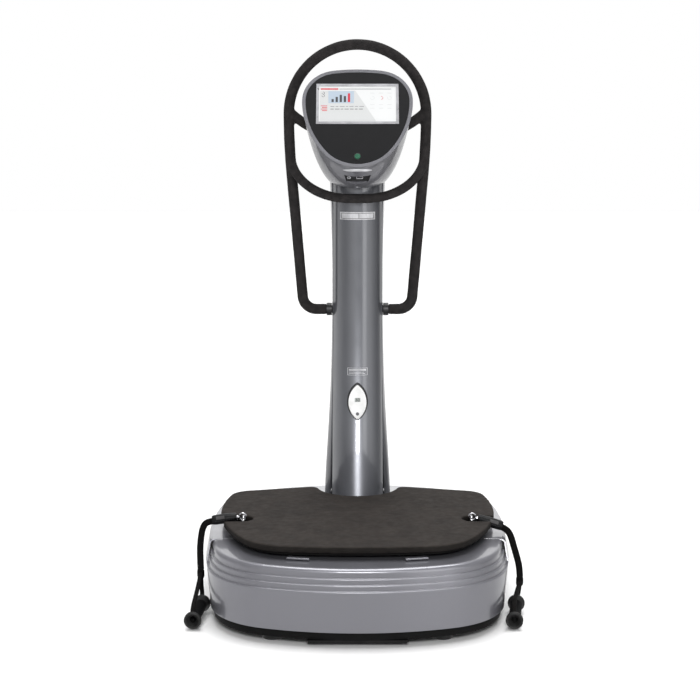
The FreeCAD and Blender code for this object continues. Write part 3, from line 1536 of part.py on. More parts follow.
def strap_sleeve(side_name, side):
    """The stitched sleeve that folds the cord back on itself."""
    link = Vector(side * size("eye_x"), size("eye_y"),
                  size("mat_top") - size("mat_thick") + 2 + 2 * size("eye_ring_radius"))
    end = Vector(*STRAP_ROUTES[side_name][0])
    away = (end - link).normalize()
    hook_r = size("hook_ring_radius") + size("hook_wire_radius")
    begin = link + away * (2.4 + hook_r + 5.0)
    length = begin.distanceToPoint(end)
    radius = size("sleeve_radius")
    barrel = Part.makeCone(radius * 0.82, radius, length * 0.35, begin, away)
    rest = Part.makeCylinder(radius, length * 0.65, begin + away * (length * 0.35), away)
    bore = Part.makeCylinder(4, 40, link + away * (2.4 + hook_r - 1.0), away)
    return node(code_shape("strap_sleeve_%s_shape" % side_name,
                           barrel.fuse(rest).cut(bore)), "strap_sleeve_" + side_name)


def strap_splitter(side_name):
    """The moulded junction where the handle's loop is sewn to the strap."""
    centre = Vector(*SPLITTERS[side_name])
    radius = size("splitter_radius")
    barrel = Part.makeCylinder(radius, 26, centre - Vector(0, 0, 13), AXIS_Z)
    rounded = barrel.makeFillet(4, [barrel.Edges[0], barrel.Edges[2]])
    return node(code_shape("strap_splitter_%s_shape" % side_name, rounded),
                "strap_splitter_" + side_name)


def handle_core(side_name):
    """The hollow tube with a flared rubber ring at each end, turned as one."""
    near, far = (Vector(*p) for p in HANDLES[side_name])
    ring = size("handle_ring_radius")
    core = size("handle_core_radius")
    bore = size("handle_bore_radius")
    axis = (far - near).normalize()
    length = near.distanceToPoint(far)
    flare = 22.0
    outline = [
        (bore, 12), (bore, length - 12), (ring - 6, length - 1), (ring - 3, length),
        (ring, length - 3), (ring, length - 9), (core + 4, length - flare),
        (core, length - flare), (core, flare), (core + 4, flare), (ring, 9), (ring, 3),
        (ring - 3, 0), (ring - 6, 1),
    ]
    points = [Vector(r, 0, along) for r, along in outline]
    face = Part.Face(Part.makePolygon(points + points[:1]))
    solid = face.revolve(Vector(0, 0, 0), AXIS_Z, 360)
    solid.Placement = Placement(near, Rotation(AXIS_Z, axis))
    return node(code_shape("handle_core_%s_shape" % side_name, solid),
                "handle_core_" + side_name)


def handle_grip(side_name):
    """The foam grip that turns on the core."""
    near, far = (Vector(*p) for p in HANDLES[side_name])
    axis = (far - near).normalize()
    length = near.distanceToPoint(far)
    start = near + axis * 22.5
    outer = Part.makeCylinder(size("grip_radius"), length - 45, start, axis)
    inner = Part.makeCylinder(size("handle_core_radius") + 0.05, length - 45, start, axis)
    return node(code_shape("handle_grip_%s_shape" % side_name, outer.cut(inner)),
                "handle_grip_" + side_name)


# Build ---------------------------------------------------------------------

front_cover()
rear_cover()
cover_clips()
chassis_tray()
belly_pan()
foot_pads()
foot_studs()
side_feet()
mount_pedestals()
vibration_mounts()
power_unit()
inlet_panel()
power_inlet()
power_rocker()
platform_plate()
standing_mat()
mirror_pair(motor_housing)
mirror_pair(motor_rotor)
column_foot()
column_bolts()
column_post()
column_front_cover()
column_rear_cover()
label_plate()
handle_frame()
foam_loop()
foam_crossbar()
foam_upper_bar()
stub_collars()
head_clamp()
upper_rod = upper_bar_tube("console_bar_room", "Dims.crossbar_foam_radius + 2")
port_room = code_shape("port_room", port_solid(0.15, -12.0, 7.2))
doc.recompute()
console_shell()
console_bezel()
screen_frame()
screen_panel()
screen_board()
start_button()
port_block()
usb_socket()
remote_cradle()
remote_shell()
remote_display()
remote_button()
mirror_pair(eye_bolt)
mirror_pair(strap_hook)
mirror_pair(strap_sleeve)
for side_name in ("left", "right"):
    route_tube("strap_cord_" + side_name, STRAP_ROUTES[side_name], size("cord_radius"))
    strap_splitter(side_name)
    route_tube("loop_cord_" + side_name, LOOP_ROUTES[side_name], size("loop_cord_radius"))
    handle_core(side_name)
    handle_grip(side_name)

doc.recompute()

# Check, then write one file per sub-part -------------------------------------

faults = []
for obj in doc.Objects:
    if "Invalid" in obj.State or "Error" in obj.State:
        faults.append("%s: %s" % (obj.Label, obj.State))
for obj in NODES:
    if obj.Shape.isNull() or not obj.Shape.isValid() or obj.Shape.Volume < 1:
        faults.append("%s: bad shape" % obj.Label)
if faults:
    raise RuntimeError("; ".join(faults))

os.makedirs("parts", exist_ok=True)
for obj in NODES:
    obj.Shape.exportStep("parts/%s.step" % obj.Label)
    reach = obj.Shape.BoundBox
    print("%-22s %9.0f mm3  x %.1f..%.1f  y %.1f..%.1f  z %.1f..%.1f" % (
        obj.Label, obj.Shape.Volume, reach.XMin, reach.XMax, reach.YMin, reach.YMax,
        reach.ZMin, reach.ZMax))
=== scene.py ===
import json
import math

import bmesh
import bpy
from mathutils import Matrix, Vector


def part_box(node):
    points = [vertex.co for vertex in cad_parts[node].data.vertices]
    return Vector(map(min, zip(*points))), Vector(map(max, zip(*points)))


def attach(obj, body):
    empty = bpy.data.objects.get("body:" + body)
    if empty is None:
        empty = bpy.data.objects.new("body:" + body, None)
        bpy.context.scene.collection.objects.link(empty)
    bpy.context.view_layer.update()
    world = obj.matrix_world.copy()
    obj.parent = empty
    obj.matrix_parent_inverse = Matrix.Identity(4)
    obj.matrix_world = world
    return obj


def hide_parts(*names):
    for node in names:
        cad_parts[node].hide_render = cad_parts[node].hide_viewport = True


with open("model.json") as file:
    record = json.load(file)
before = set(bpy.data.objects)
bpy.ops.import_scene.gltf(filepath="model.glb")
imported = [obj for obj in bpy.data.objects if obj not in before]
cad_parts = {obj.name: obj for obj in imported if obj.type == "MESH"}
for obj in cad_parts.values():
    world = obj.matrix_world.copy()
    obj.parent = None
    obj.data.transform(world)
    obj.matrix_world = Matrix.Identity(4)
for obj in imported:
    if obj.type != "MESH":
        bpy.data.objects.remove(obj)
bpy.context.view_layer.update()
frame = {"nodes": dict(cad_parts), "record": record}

# Vibration plate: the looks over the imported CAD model. Metres, +Z up, the front
# of the machine towards -Y. Places come from the CAD nodes' boxes and surfaces, or
# repeat sizes of the CAD source, as the cords' routes and the console's face do.

scene = bpy.context.scene
nodes = frame["nodes"]
SIDES = ("left", "right")
OUTSIDE = 0.8               # rays start this far before or behind the machine's middle


# Camera -----------------------------------------------------------------------

CAMERA_PLACE = (0.0, -4.2, 1.4)
CAMERA_PITCH = 8.6          # degrees below the horizon
CAMERA_LENS = 79.5
CAMERA_SHIFT = (-0.0107, -0.0343)

camera_data = bpy.data.cameras.new("camera")
camera_data.lens = CAMERA_LENS
camera_data.shift_x, camera_data.shift_y = CAMERA_SHIFT
camera = bpy.data.objects.new("camera", camera_data)
camera.location = CAMERA_PLACE
camera.rotation_euler = (math.radians(90 - CAMERA_PITCH), 0, 0)
scene.collection.objects.link(camera)
scene.camera = camera


# Mesh helpers -----------------------------------------------------------------

def middle(node):
    """The centre of a node's box."""
    low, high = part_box(node)
    return (low + high) / 2


def new_piece(name, mesh, body, materials=()):
    """A new object that rides on a CAD body."""
    piece = bpy.data.objects.new(name, mesh)
    scene.collection.objects.link(piece)
    for material in materials:
        mesh.materials.append(material)
    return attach(piece, body)


def to_mesh(name, shape, outward=True):
    """The finished mesh of a shape under construction."""
    if outward:
        bmesh.ops.recalc_face_normals(shape, faces=shape.faces)
    mesh = bpy.data.meshes.new(name)
    shape.to_mesh(mesh)
    shape.free()
    return mesh


def smooth(mesh, angle=35):
    """Smooth shading, with the edges kept sharp that turn by more than the angle."""
    mesh.shade_smooth()
    shape = bmesh.new()
    shape.from_mesh(mesh)
    for edge in shape.edges:
        edge.smooth = edge.calc_face_angle(0) < math.radians(angle)
    shape.to_mesh(mesh)
    shape.free()
    return mesh


def strip(width, thickness, count=5):
    """A webbing's cross-section: two flat faces and half-round edges."""
    reach = (width - thickness) / 2
    section = []
    for end in (1, -1):
        for i in range(count):
            turn = math.pi * (i / (count - 1) - 0.5)
            section.append((end * (reach + thickness / 2 * math.cos(turn)),
                            end * thickness / 2 * math.sin(turn)))
    return section


def circle(radius, count, flat):
    """A round cross-section, squeezed upward by flat, as (sideways, up) pairs."""
    turns = [math.tau * i / count for i in range(count)]
    return [(radius * math.cos(t), radius * flat * math.sin(t)) for t in turns]


def curve_data(name, route):
    """A smooth open spline with these control points."""
    data = bpy.data.curves.new(name, "CURVE")
    data.dimensions = "3D"
    spline = data.splines.new("NURBS")
    spline.points.add(len(route) - 1)
    for point, place in zip(spline.points, route):
        point.co = (*place, 1)
    spline.order_u = 3
    spline.use_endpoint_u = True
    spline.resolution_u = 10
    return data


def spline_points(route):
    """The points along a route's smooth line."""
    guide = bpy.data.objects.new("guide", curve_data("guide", route))
    scene.collection.objects.link(guide)
    line = bpy.data.meshes.new_from_object(guide)
    points = [v.co.copy() for v in line.vertices]
    bpy.data.objects.remove(guide)
    bpy.data.meshes.remove(line)
    return points


def frames_along(points, up):
    """For each point: the point, a sideways axis, an up axis and the distance run."""
    found = []
    run = 0.0
    side = None
    for i, here in enumerate(points):
        before = points[max(i - 1, 0)]
        after = points[min(i + 1, len(points) - 1)]
        ahead = (after - before).normalized()
        if side is None:
            side = ahead.cross(Vector(up)).normalized()
        side = (side - ahead * side.dot(ahead)).normalized()
        run += (here - before).length
        found.append((here, side, side.cross(ahead), run))
    return found


def sweep(name, points, section, up=(0, 0, 1), swell=None):
    """A capped tube: the section carried along the points, and scaled by swell at
    each share of the length. Its UV map holds metres round and metres along."""
    shape = bmesh.new()
    uv = shape.loops.layers.uv.new("UVMap")
    steps = frames_along(points, up)
    total = steps[-1][3]
    rounds = [0.0]
    for a, b in zip(section, section[1:] + section[:1]):
        rounds.append(rounds[-1] + math.dist(a, b))
    rings = []
    for here, side, top, run in steps:
        grow = swell(run / total) if swell else 1.0
        rings.append([shape.verts.new(here + (side * x + top * y) * grow)
                      for x, y in section])
    count = len(section)
    for i in range(len(rings) - 1):
        for j in range(count):
            k = (j + 1) % count
            face = shape.faces.new((rings[i][j], rings[i + 1][j],
                                    rings[i + 1][k], rings[i][k]))
            spots = [(rounds[j], steps[i][3]), (rounds[j], steps[i + 1][3]),
                     (rounds[j + 1], steps[i + 1][3]), (rounds[j + 1], steps[i][3])]
            for loop, spot in zip(face.loops, spots):
                loop[uv].uv = spot
    shape.faces.new(rings[0])
    shape.faces.new(list(reversed(rings[-1])))
    return smooth(to_mesh(name, shape), 50)


def turned(name, profile, start, axis, count=48):
    """A turned part: (radius, along) pairs spun round an axis from its start."""
    shape = bmesh.new()
    spin = Vector((0, 0, 1)).rotation_difference(Vector(axis)).to_matrix().to_4x4()
    place = Matrix.Translation(start) @ spin
    rings = []
    for radius, along in profile:
        if radius < 1e-6:
            rings.append([shape.verts.new(place @ Vector((0, 0, along)))])
            continue
        ring = []
        for i in range(count):
            turn = math.tau * i / count
            spot = Vector((radius * math.cos(turn), radius * math.sin(turn), along))
            ring.append(shape.verts.new(place @ spot))
        rings.append(ring)
    for low, high in zip(rings, rings[1:]):
        for i in range(count):
            k = (i + 1) % count
            corners = [low[i % len(low)], low[k % len(low)], high[k % len(high)],
                       high[i % len(high)]]
            unique = list(dict.fromkeys(corners))
            if len(unique) > 2:
                shape.faces.new(unique)
    return smooth(to_mesh(name, shape))


# Materials --------------------------------------------------------------------

def principled(name, colour, roughness, sockets=()):
    """A material with one shader, whose plain values are set on its own sockets."""
    material = bpy.data.materials.new(name)
    material.use_nodes = True
    shader = material.node_tree.nodes["Principled BSDF"]
    shader.inputs["Base Color"].default_value = (*colour, 1)
    shader.inputs["Roughness"].default_value = roughness
    for socket, value in dict(sockets).items():
        shader.inputs[socket].default_value = value
    return material


def shader_of(material):
    """The material's one shader."""
    return material.node_tree.nodes["Principled BSDF"]


def add(owner, kind, inputs=(), **settings):
    """A new node for a material or a world, with its settings and, for each input,
    a plain value or an incoming link."""
    node = owner.node_tree.nodes.new(kind)
    for key, value in settings.items():
        setattr(node, key, value)
    for key, value in dict(inputs).items():
        if isinstance(value, bpy.types.NodeSocket):
            owner.node_tree.links.new(value, node.inputs[key])
        else:
            node.inputs[key].default_value = value
    return node


def mixed(owner, factor, first, second, blend="MIX"):
    """Two colours mixed by a factor. A mix node takes its colours at inputs 6 and 7."""
    node = add(owner, "ShaderNodeMix", {"Factor": factor, 6: first, 7: second},
               data_type="RGBA", blend_type=blend)
    return node.outputs[2]


def noise(material, scale, detail=4.0, stretch=(1, 1, 1)):
    """A noise pattern in metres: scale is its repeats per metre."""
    place = add(material, "ShaderNodeTexCoord").outputs["Object"]
    spread = add(material, "ShaderNodeMapping", {"Vector": place, "Scale": stretch})
    found = add(material, "ShaderNodeTexNoise",
                {"Vector": spread.outputs["Vector"], "Scale": scale, "Detail": detail})
    return found.outputs["Fac"]


def set_stops(elements, stops):
    """Gives a colour ramp these (position, colour) stops, in rising order."""
    elements.remove(elements[1])
    elements[0].position = stops[0][0]
    elements[0].color = (*stops[0][1], 1)
    for position, colour in stops[1:]:
        elements.new(position).color = (*colour, 1)


def ramp(material, factor, stops):
    """A colour ramp from (position, colour) stops."""
    node = add(material, "ShaderNodeValToRGB", {"Fac": factor})
    set_stops(node.color_ramp.elements, stops)
    return node.outputs["Color"]


def vary_colour(material, factor, dark, light, low=0.35, high=0.65):
    """The colour goes from dark to light as the factor goes from low to high."""
    colour = ramp(material, factor, [(low, dark), (high, light)])
    material.node_tree.links.new(colour, shader_of(material).inputs["Base Color"])


def vary_roughness(material, factor, low, high):
    """The roughness follows the factor between these two values."""
    spread = add(material, "ShaderNodeMapRange",
                 {"Value": factor, "From Min": 0.3, "From Max": 0.7,
                  "To Min": low, "To Max": high})
    material.node_tree.links.new(spread.outputs["Result"],
                                 shader_of(material).inputs["Roughness"])


def bump(material, height, distance, strength=1.0):
    """Adds relief, on top of any relief that the material has already."""
    node = add(material, "ShaderNodeBump",
               {"Height": height, "Distance": distance, "Strength": strength})
    socket = shader_of(material).inputs["Normal"]
    if socket.links:
        material.node_tree.links.new(socket.links[0].from_socket, node.inputs["Normal"])
    material.node_tree.links.new(node.outputs["Normal"], socket)


def round_edges(material, radius):
    """Makes sharp edges catch the light as if they had this radius."""
    edge = add(material, "ShaderNodeBevel", {"Radius": radius}, samples=4)
    socket = shader_of(material).inputs["Normal"]
    material.node_tree.links.new(edge.outputs["Normal"], socket)


def metallic_paint(name, colour, coat=0.7, roughness=0.35):
    """Fine-flake metallic paint under a clear coat."""
    dark = [c * 0.94 for c in colour]
    light = [c * 1.06 for c in colour]
    paint = principled(name, colour, roughness, {
        "Metallic": 0.55, "Coat Weight": coat, "Coat Roughness": 0.07})
    round_edges(paint, 0.0015)
    vary_colour(paint, noise(paint, 2600, 1.0), dark, light)
    vary_roughness(paint, noise(paint, 14, 5.0), roughness - 0.05, roughness + 0.05)
    bump(paint, noise(paint, 420, 2.0), 0.00003, 0.12)
    return paint


def moulded(name, colour, roughness=0.5, grain=900, relief=0.00006, sockets=(),
            edge=0.0008, spread=(0.85, 1.2)):
    """Moulded plastic or rubber with a fine even grain. The spread is how far its
    colour and gloss drift, as shares of their own values."""
    dark = [c * spread[0] for c in colour]
    light = [min(c * spread[1], 0.95) for c in colour]
    plastic = principled(name, colour, roughness, sockets)
    if edge:
        round_edges(plastic, edge)
    vary_colour(plastic, noise(plastic, 30, 5.0), dark, light)
    vary_roughness(plastic, noise(plastic, 45, 4.0), roughness * (spread[0] + 0.03),
                   roughness * (spread[1] - 0.08))
    bump(plastic, noise(plastic, grain, 2.0), relief)
    return plastic


def metal(name, colour, roughness, relief=0.00002):
    """Bare or plated metal with faint working marks."""
    dark = [c * 0.85 for c in colour]
    light = [min(c * 1.1, 1) for c in colour]
    found = principled(name, colour, roughness, {"Metallic": 1.0})
    round_edges(found, 0.0006)
    vary_colour(found, noise(found, 60, 5.0), dark, light)
    vary_roughness(found, noise(found, 90, 4.0), roughness * 0.75, roughness * 1.3)
    bump(found, noise(found, 700, 3.0), relief)
    return found


def foam(name, dark, light, cloud=22):
    """Closed-cell foam: fine pores, soft dents and cloudy handling marks."""
    found = principled(name, dark, 0.85, {"Specular IOR Level": 0.18})
    clouds = ramp(found, noise(found, cloud, 6.0), [(0.35, dark), (0.65, light)])
    scuffs = ramp(found, noise(found, 7, 8.0, (1, 2.2, 1)),
                  [(0.72, (1.0, 1.0, 1.0)), (0.8, (1.5, 1.5, 1.5))])
    worn = mixed(found, 1.0, clouds, scuffs, "MULTIPLY")
    found.node_tree.links.new(worn, shader_of(found).inputs["Base Color"])
    vary_roughness(found, noise(found, 60, 3.0), 0.78, 0.92)
    bump(found, noise(found, 900, 3.0), 0.00025, 0.7)
    bump(found, noise(found, 160, 3.0), 0.0004, 0.5)
    return found


def painted_side_shade(material, share):
    """Painted shade: darkens faces that don't look upward, such as the mat's sides, where
    less of the light from above falls.
    """
    normal = add(material, "ShaderNodeNewGeometry").outputs["Normal"]
    upward = add(material, "ShaderNodeSeparateXYZ", {"Vector": normal}).outputs["Z"]
    shade = ramp(material, upward, [(0.3, (share, share, share)), (0.85, (1, 1, 1))])
    socket = shader_of(material).inputs["Base Color"]
    darkened = mixed(material, 1.0, socket.links[0].from_socket, shade, "MULTIPLY")
    material.node_tree.links.new(darkened, socket)


def weave(name, colour, pitch):
    """Woven webbing: two sets of diagonal ribs that cross, laid out by the UV map."""
    found = principled(name, colour, 0.75, {"Specular IOR Level": 0.08})
    place = add(found, "ShaderNodeTexCoord").outputs["UV"]
    heights = []
    for lean in (-1, 1):
        turned_place = add(found, "ShaderNodeMapping",
                           {"Vector": place, "Rotation": (0, 0, lean * math.radians(45))})
        ribs = add(found, "ShaderNodeTexWave",
                   {"Vector": turned_place.outputs["Vector"], "Scale": 1 / (pitch * 3.2),
                    "Distortion": 0.4}, wave_type="BANDS")
        heights.append(ribs.outputs["Fac"])
    both = add(found, "ShaderNodeMath", {0: heights[0], 1: heights[1]},
               operation="MAXIMUM").outputs["Value"]
    # the colour follows the rib height: lighter on the rib tops and darker in the grooves, a
    # painted highlight and painted shade across the weave
    dark = [c * 0.5 for c in colour]
    light = [c * 1.5 for c in colour]
    vary_colour(found, both, dark, light, 0.2, 0.9)
    vary_roughness(found, noise(found, 80), 0.62, 0.8)
    bump(found, both, pitch * 0.25)
    return found


cover_paint = metallic_paint("cover_paint", (0.19, 0.19, 0.212), 0.8)
column_paint = metallic_paint("column_paint", (0.096, 0.099, 0.110), 1.0)
shell_paint = metallic_paint("shell_paint", (0.16, 0.16, 0.176), 0.7, 0.42)
powder_black = moulded("powder_black", (0.004, 0.004, 0.004), 0.6, 700,
                       sockets={"Specular IOR Level": 0.1})
rubber_black = moulded("rubber_black", (0.009, 0.009, 0.009), 0.6, 500, 0.0001,
                       {"Specular IOR Level": 0.35})
trim_black = moulded("trim_black", (0.012, 0.012, 0.013), 0.42)
bezel_black = moulded("bezel_black", (0.008, 0.008, 0.009), 0.28, 1400, 0.000002,
                      {"Specular IOR Level": 0.24}, edge=0, spread=(0.96, 1.08))
mat_foam = foam("mat_foam", (0.022, 0.0185, 0.0165), (0.031, 0.026, 0.023))
# painted shade: the mat's sides darker than its top
painted_side_shade(mat_foam, 0.45)
handle_foam = foam("handle_foam", (0.013, 0.0118, 0.012), (0.025, 0.0225, 0.0225), 60)
grip_foam = foam("grip_foam", (0.003, 0.003, 0.0033), (0.006, 0.006, 0.0065))
shader_of(grip_foam).inputs["Specular IOR Level"].default_value = 0.08
screen_silver = moulded("screen_silver", (0.42, 0.42, 0.44), 0.3, 1200, 0.00002,
                        {"Metallic": 0.6}, edge=0)
lit_display = principled("lit_display", (0.66, 0.67, 0.67), 0.25, {
    "Emission Color": (1, 1, 1, 1), "Emission Strength": 0.08, "Coat Weight": 0.2})
bump(lit_display, noise(lit_display, 3000, 1.0), 0.00001, 0.3)
green_button = moulded("green_button", (0.015, 0.105, 0.055), 0.3, 1200, 0.00002)
board_green = moulded("board_green", (0.02, 0.12, 0.05), 0.4)
# the remote's white shell glows faintly: painted light that brightens it
remote_white = moulded("remote_white", (0.9, 0.9, 0.89), 0.18, 1500, 0.00001,
                       {"Coat Weight": 0.6, "Coat Roughness": 0.04,
                        "Emission Color": (1, 1, 1, 1), "Emission Strength": 0.15})
display_grey = moulded("display_grey", (0.42, 0.45, 0.43), 0.25, 1500, 0.00001)
label_foil = moulded("label_foil", (0.55, 0.55, 0.57), 0.35, 900, 0.00001,
                     {"Metallic": 0.4})
zinc = metal("zinc", (0.21, 0.21, 0.22), 0.36)
chrome = metal("chrome", (0.55, 0.55, 0.57), 0.14)
cast_grey = moulded("cast_grey", (0.18, 0.18, 0.19), 0.6, 300, 0.0003)
cast_iron = metal("cast_iron", (0.16, 0.16, 0.16), 0.6, relief=0.0001)
strap_weave = weave("strap_weave", (0.0035, 0.0031, 0.0030), 0.0018)
thread_grey = moulded("thread_grey", (0.05, 0.05, 0.052), 0.6, 1500, 0.00002)
tag_cloth = moulded("tag_cloth", (0.035, 0.033, 0.034), 0.6, 900, 0.0001)
sleeve_leather = moulded("sleeve_leather", (0.003, 0.003, 0.0033), 0.45, 500, 0.0002,
                         {"Specular IOR Level": 0.2})

SLOT_LOOKS = {
    "cover_grey": cover_paint, "column_grey": column_paint,
    "chassis_black": powder_black, "steel_black": powder_black,
    "rubber_black": rubber_black, "mat_rubber": mat_foam, "handle_foam": handle_foam,
    "trim_black": trim_black, "bezel_black": bezel_black,
    "screen_silver": screen_silver, "screen_white": lit_display,
    "button_green": green_button, "board_green": board_green,
    "remote_white": remote_white, "display_grey": display_grey,
    "label_silver": label_foil, "zinc": zinc, "chrome": chrome,
    "cast_grey": cast_grey, "weight_iron": cast_iron, "strap_black": strap_weave,
    "sleeve_black": sleeve_leather,
}
NODE_LOOKS = {"console_shell": shell_paint}

for part in frame["record"]["subparts"]:
    look = NODE_LOOKS.get(part["node"], SLOT_LOOKS[part["material_slot"]])
    node_mesh = nodes[part["node"]].data
    node_mesh.materials.clear()
    node_mesh.materials.append(look)


# Cords ------------------------------------------------------------------------

STRAP_ROUTES = {
    "left": [
        (-0.397, -0.090, 0.2374), (-0.413, -0.090, 0.2356), (-0.424, -0.092, 0.221),
        (-0.429, -0.097, 0.194), (-0.431, -0.1045, 0.166), (-0.430, -0.114, 0.139),
        (-0.428, -0.124, 0.1125),
    ],
    "right": [
        (0.394, -0.103, 0.2245), (0.408, -0.106, 0.219), (0.419, -0.1095, 0.202),
        (0.426, -0.1135, 0.177), (0.434, -0.118, 0.150), (0.442, -0.123, 0.121),
        (0.4435, -0.128, 0.092),
    ],
}
LOOP_ROUTES = {
    "left": [
        (-0.434, -0.294, 0.047), (-0.434, -0.279, 0.056), (-0.433, -0.246, 0.065),
        (-0.431, -0.203, 0.076), (-0.429, -0.166, 0.089), (-0.428, -0.144, 0.098),
        (-0.428, -0.129, 0.102), (-0.428, -0.118, 0.092), (-0.428, -0.116, 0.077),
        (-0.427, -0.121, 0.062), (-0.4245, -0.133, 0.051), (-0.423, -0.145, 0.046),
        (-0.422, -0.156, 0.044),
    ],
    "right": [
        (0.412, -0.294, 0.047), (0.413, -0.279, 0.055), (0.417, -0.247, 0.061),
        (0.425, -0.205, 0.066), (0.434, -0.168, 0.0715), (0.440, -0.146, 0.077),
        (0.443, -0.131, 0.081), (0.444, -0.120, 0.071), (0.443, -0.119, 0.057),
        (0.440, -0.129, 0.046), (0.436, -0.143, 0.043), (0.4325, -0.156, 0.0425),
    ],
}
STRAP_WIDTH = 0.018
STRAP_THICK = 0.009
LOOP_WIDTH = 0.012
LOOP_THICK = 0.007
SPLITTERS = {"left": (-0.428, -0.125, 0.100), "right": (0.443, -0.128, 0.080)}
SPLITTER_RINGS = (0.013, 0.011, 0.006, 0, -0.006, -0.011, -0.013)   # above its middle
SPLITTER_SECTION = strip(0.020, 0.013)


def splitter_swell(along):
    """Drawn in a little at both ends."""
    return 1 - 0.25 * (2 * along - 1) ** 6


def webbing(name, route, section, node, side, up):
    """A woven strap along its route, in place of its round CAD solid."""
    path = spline_points(route)
    mesh = sweep(name, path, section, up)
    piece = new_piece(name, mesh, "strap_" + side, [strap_weave])
    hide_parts(node)
    return piece, path


def stitches(name, rows, body, look, length=0.0028, gap=0.0016, radius=0.0005):
    """Thread stitches as small raised beads along each row of points."""
    shape = bmesh.new()
    for row in rows:
        for a, b in zip(row, row[1:]):
            a, b = Vector(a), Vector(b)
            count = max(1, round((b - a).length / (length + gap)))
            turn = Vector((1, 0, 0)).rotation_difference(b - a).to_matrix().to_4x4()
            for i in range(count):
                spot = a.lerp(b, (i + 0.5) / count)
                place = (Matrix.Translation(spot) @ turn
                         @ Matrix.Diagonal((length / 2, radius, radius, 1)))
                bmesh.ops.create_icosphere(shape, subdivisions=1, radius=1, matrix=place)
    return new_piece(name, smooth(to_mesh(name, shape, outward=False), 80), body, [look])


for side in SIDES:
    body = "strap_" + side
    spot = Vector(SPLITTERS[side])
    wrap_points = [spot + Vector((0, 0, lift)) for lift in SPLITTER_RINGS]
    wrap = new_piece("splitter_wrap_" + side,
                     sweep("splitter_wrap_" + side, wrap_points, SPLITTER_SECTION,
                           up=(0, -1, 0), swell=splitter_swell), body, [strap_weave])
    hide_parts("strap_splitter_" + side)
    strap, path = webbing("strap_" + side, STRAP_ROUTES[side],
                          strip(STRAP_WIDTH, STRAP_THICK), "strap_cord_" + side, side,
                          (0, -1, 0.15))
    loop, path = webbing("loop_" + side, LOOP_ROUTES[side],
                         strip(LOOP_WIDTH, LOOP_THICK), "loop_cord_" + side, side,
                         (0, 0, 1))


# Foam pieces ------------------------------------------------------------------

def softened(name, sources, body, voxel, look, rounds=4, unevenness=0.0004):
    """One foam piece over its CAD nodes: joints blended, edges rounded, faces
    slightly uneven."""
    shape = bmesh.new()
    for node in sources:
        shape.from_mesh(nodes[node].data)
    piece = new_piece(name, to_mesh(name, shape, outward=False), body, [look])
    remesh = piece.modifiers.new("skin", "REMESH")
    remesh.mode = "VOXEL"
    remesh.voxel_size = voxel
    remesh.use_smooth_shade = True
    relax = piece.modifiers.new("relax", "SMOOTH")
    relax.iterations = rounds
    clouds = bpy.data.textures.new(name, "CLOUDS")
    clouds.noise_scale = 0.05
    uneven = piece.modifiers.new("uneven", "DISPLACE")
    uneven.texture = clouds
    uneven.texture_coords = "GLOBAL"
    uneven.strength = unevenness
    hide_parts(*sources)
    return piece


mat = softened("mat", ["standing_mat"], "platform", 0.004, mat_foam)
handle = softened("handle_padding", ["foam_loop", "foam_crossbar", "foam_upper_bar"],
                  "base", 0.0025, handle_foam, 8, 0.0008)
for side in SIDES:
    grip = softened("grip_" + side, ["handle_grip_" + side], "grip_" + side, 0.0015,
                    grip_foam, 3, 0.0003)


# Strap sleeves ----------------------------------------------------------------

# each sleeve's middle line, from its hook to its strap
SLEEVES = {"left": ((-0.3305, -0.090, 0.2495), (-0.3975, -0.090, 0.2400)),
           "right": ((0.3285, -0.0945, 0.2475), (0.3960, -0.1030, 0.2275))}
SLEEVE_RADIUS = 0.0138
SLEEVE_FLAT = 0.95
SLEEVE_RINGS = 15
SEAM_LEANS = (Vector((0, -0.45, 0.9)), Vector((0, -1, -0.1)))
SEAM_STOPS = (0.1, 0.25, 0.45, 0.7, 0.9)
TAG_LEAN = Vector((0, -0.85, 0.5))
TAG_STOPS = (0.48, 0.55, 0.65, 0.75, 0.82)
TAG_SINK = 0.0008           # how far the tag's middle lies under the leather
TAG_SECTION = strip(0.0095, 0.0026)


def sleeve_swell(along):
    """Slim at the hook, full towards the strap, drawn in at both stitched ends."""
    return 0.86 + 0.18 * min(along * 2.2, 1.0) - 0.12 * (2 * along - 1) ** 8


def sleeve_line(start, end, lean, sink, stops):
    """Points along a sleeve's skin, on the side that the lean points to."""
    ahead = (end - start).normalized()
    outward = (lean - ahead * lean.dot(ahead)).normalized() * (SLEEVE_RADIUS - sink)
    return [start.lerp(end, along) + outward * sleeve_swell(along) for along in stops]


for side, (start, end) in SLEEVES.items():
    start, end = Vector(start), Vector(end)
    points = [start.lerp(end, i / (SLEEVE_RINGS - 1)) for i in range(SLEEVE_RINGS)]
    sleeve = new_piece("sleeve_" + side,
                       sweep("sleeve_" + side, points, circle(SLEEVE_RADIUS, 28, SLEEVE_FLAT),
                             swell=sleeve_swell), "strap_" + side, [sleeve_leather])
    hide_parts("strap_sleeve_" + side)
    rows = [sleeve_line(start, end, lean, 0, SEAM_STOPS) for lean in SEAM_LEANS]
    seam = stitches("sleeve_seam_" + side, rows, "strap_" + side, thread_grey)
    # a blank tag sewn on between the seams
    ahead = (end - start).normalized()
    tag_up = TAG_LEAN - ahead * TAG_LEAN.dot(ahead)
    tag = new_piece("sleeve_tag_" + side,
                    sweep("sleeve_tag_" + side,
                          sleeve_line(start, end, TAG_LEAN, TAG_SINK, TAG_STOPS),
                          TAG_SECTION, up=tag_up), "strap_" + side, [tag_cloth])


# Console details --------------------------------------------------------------

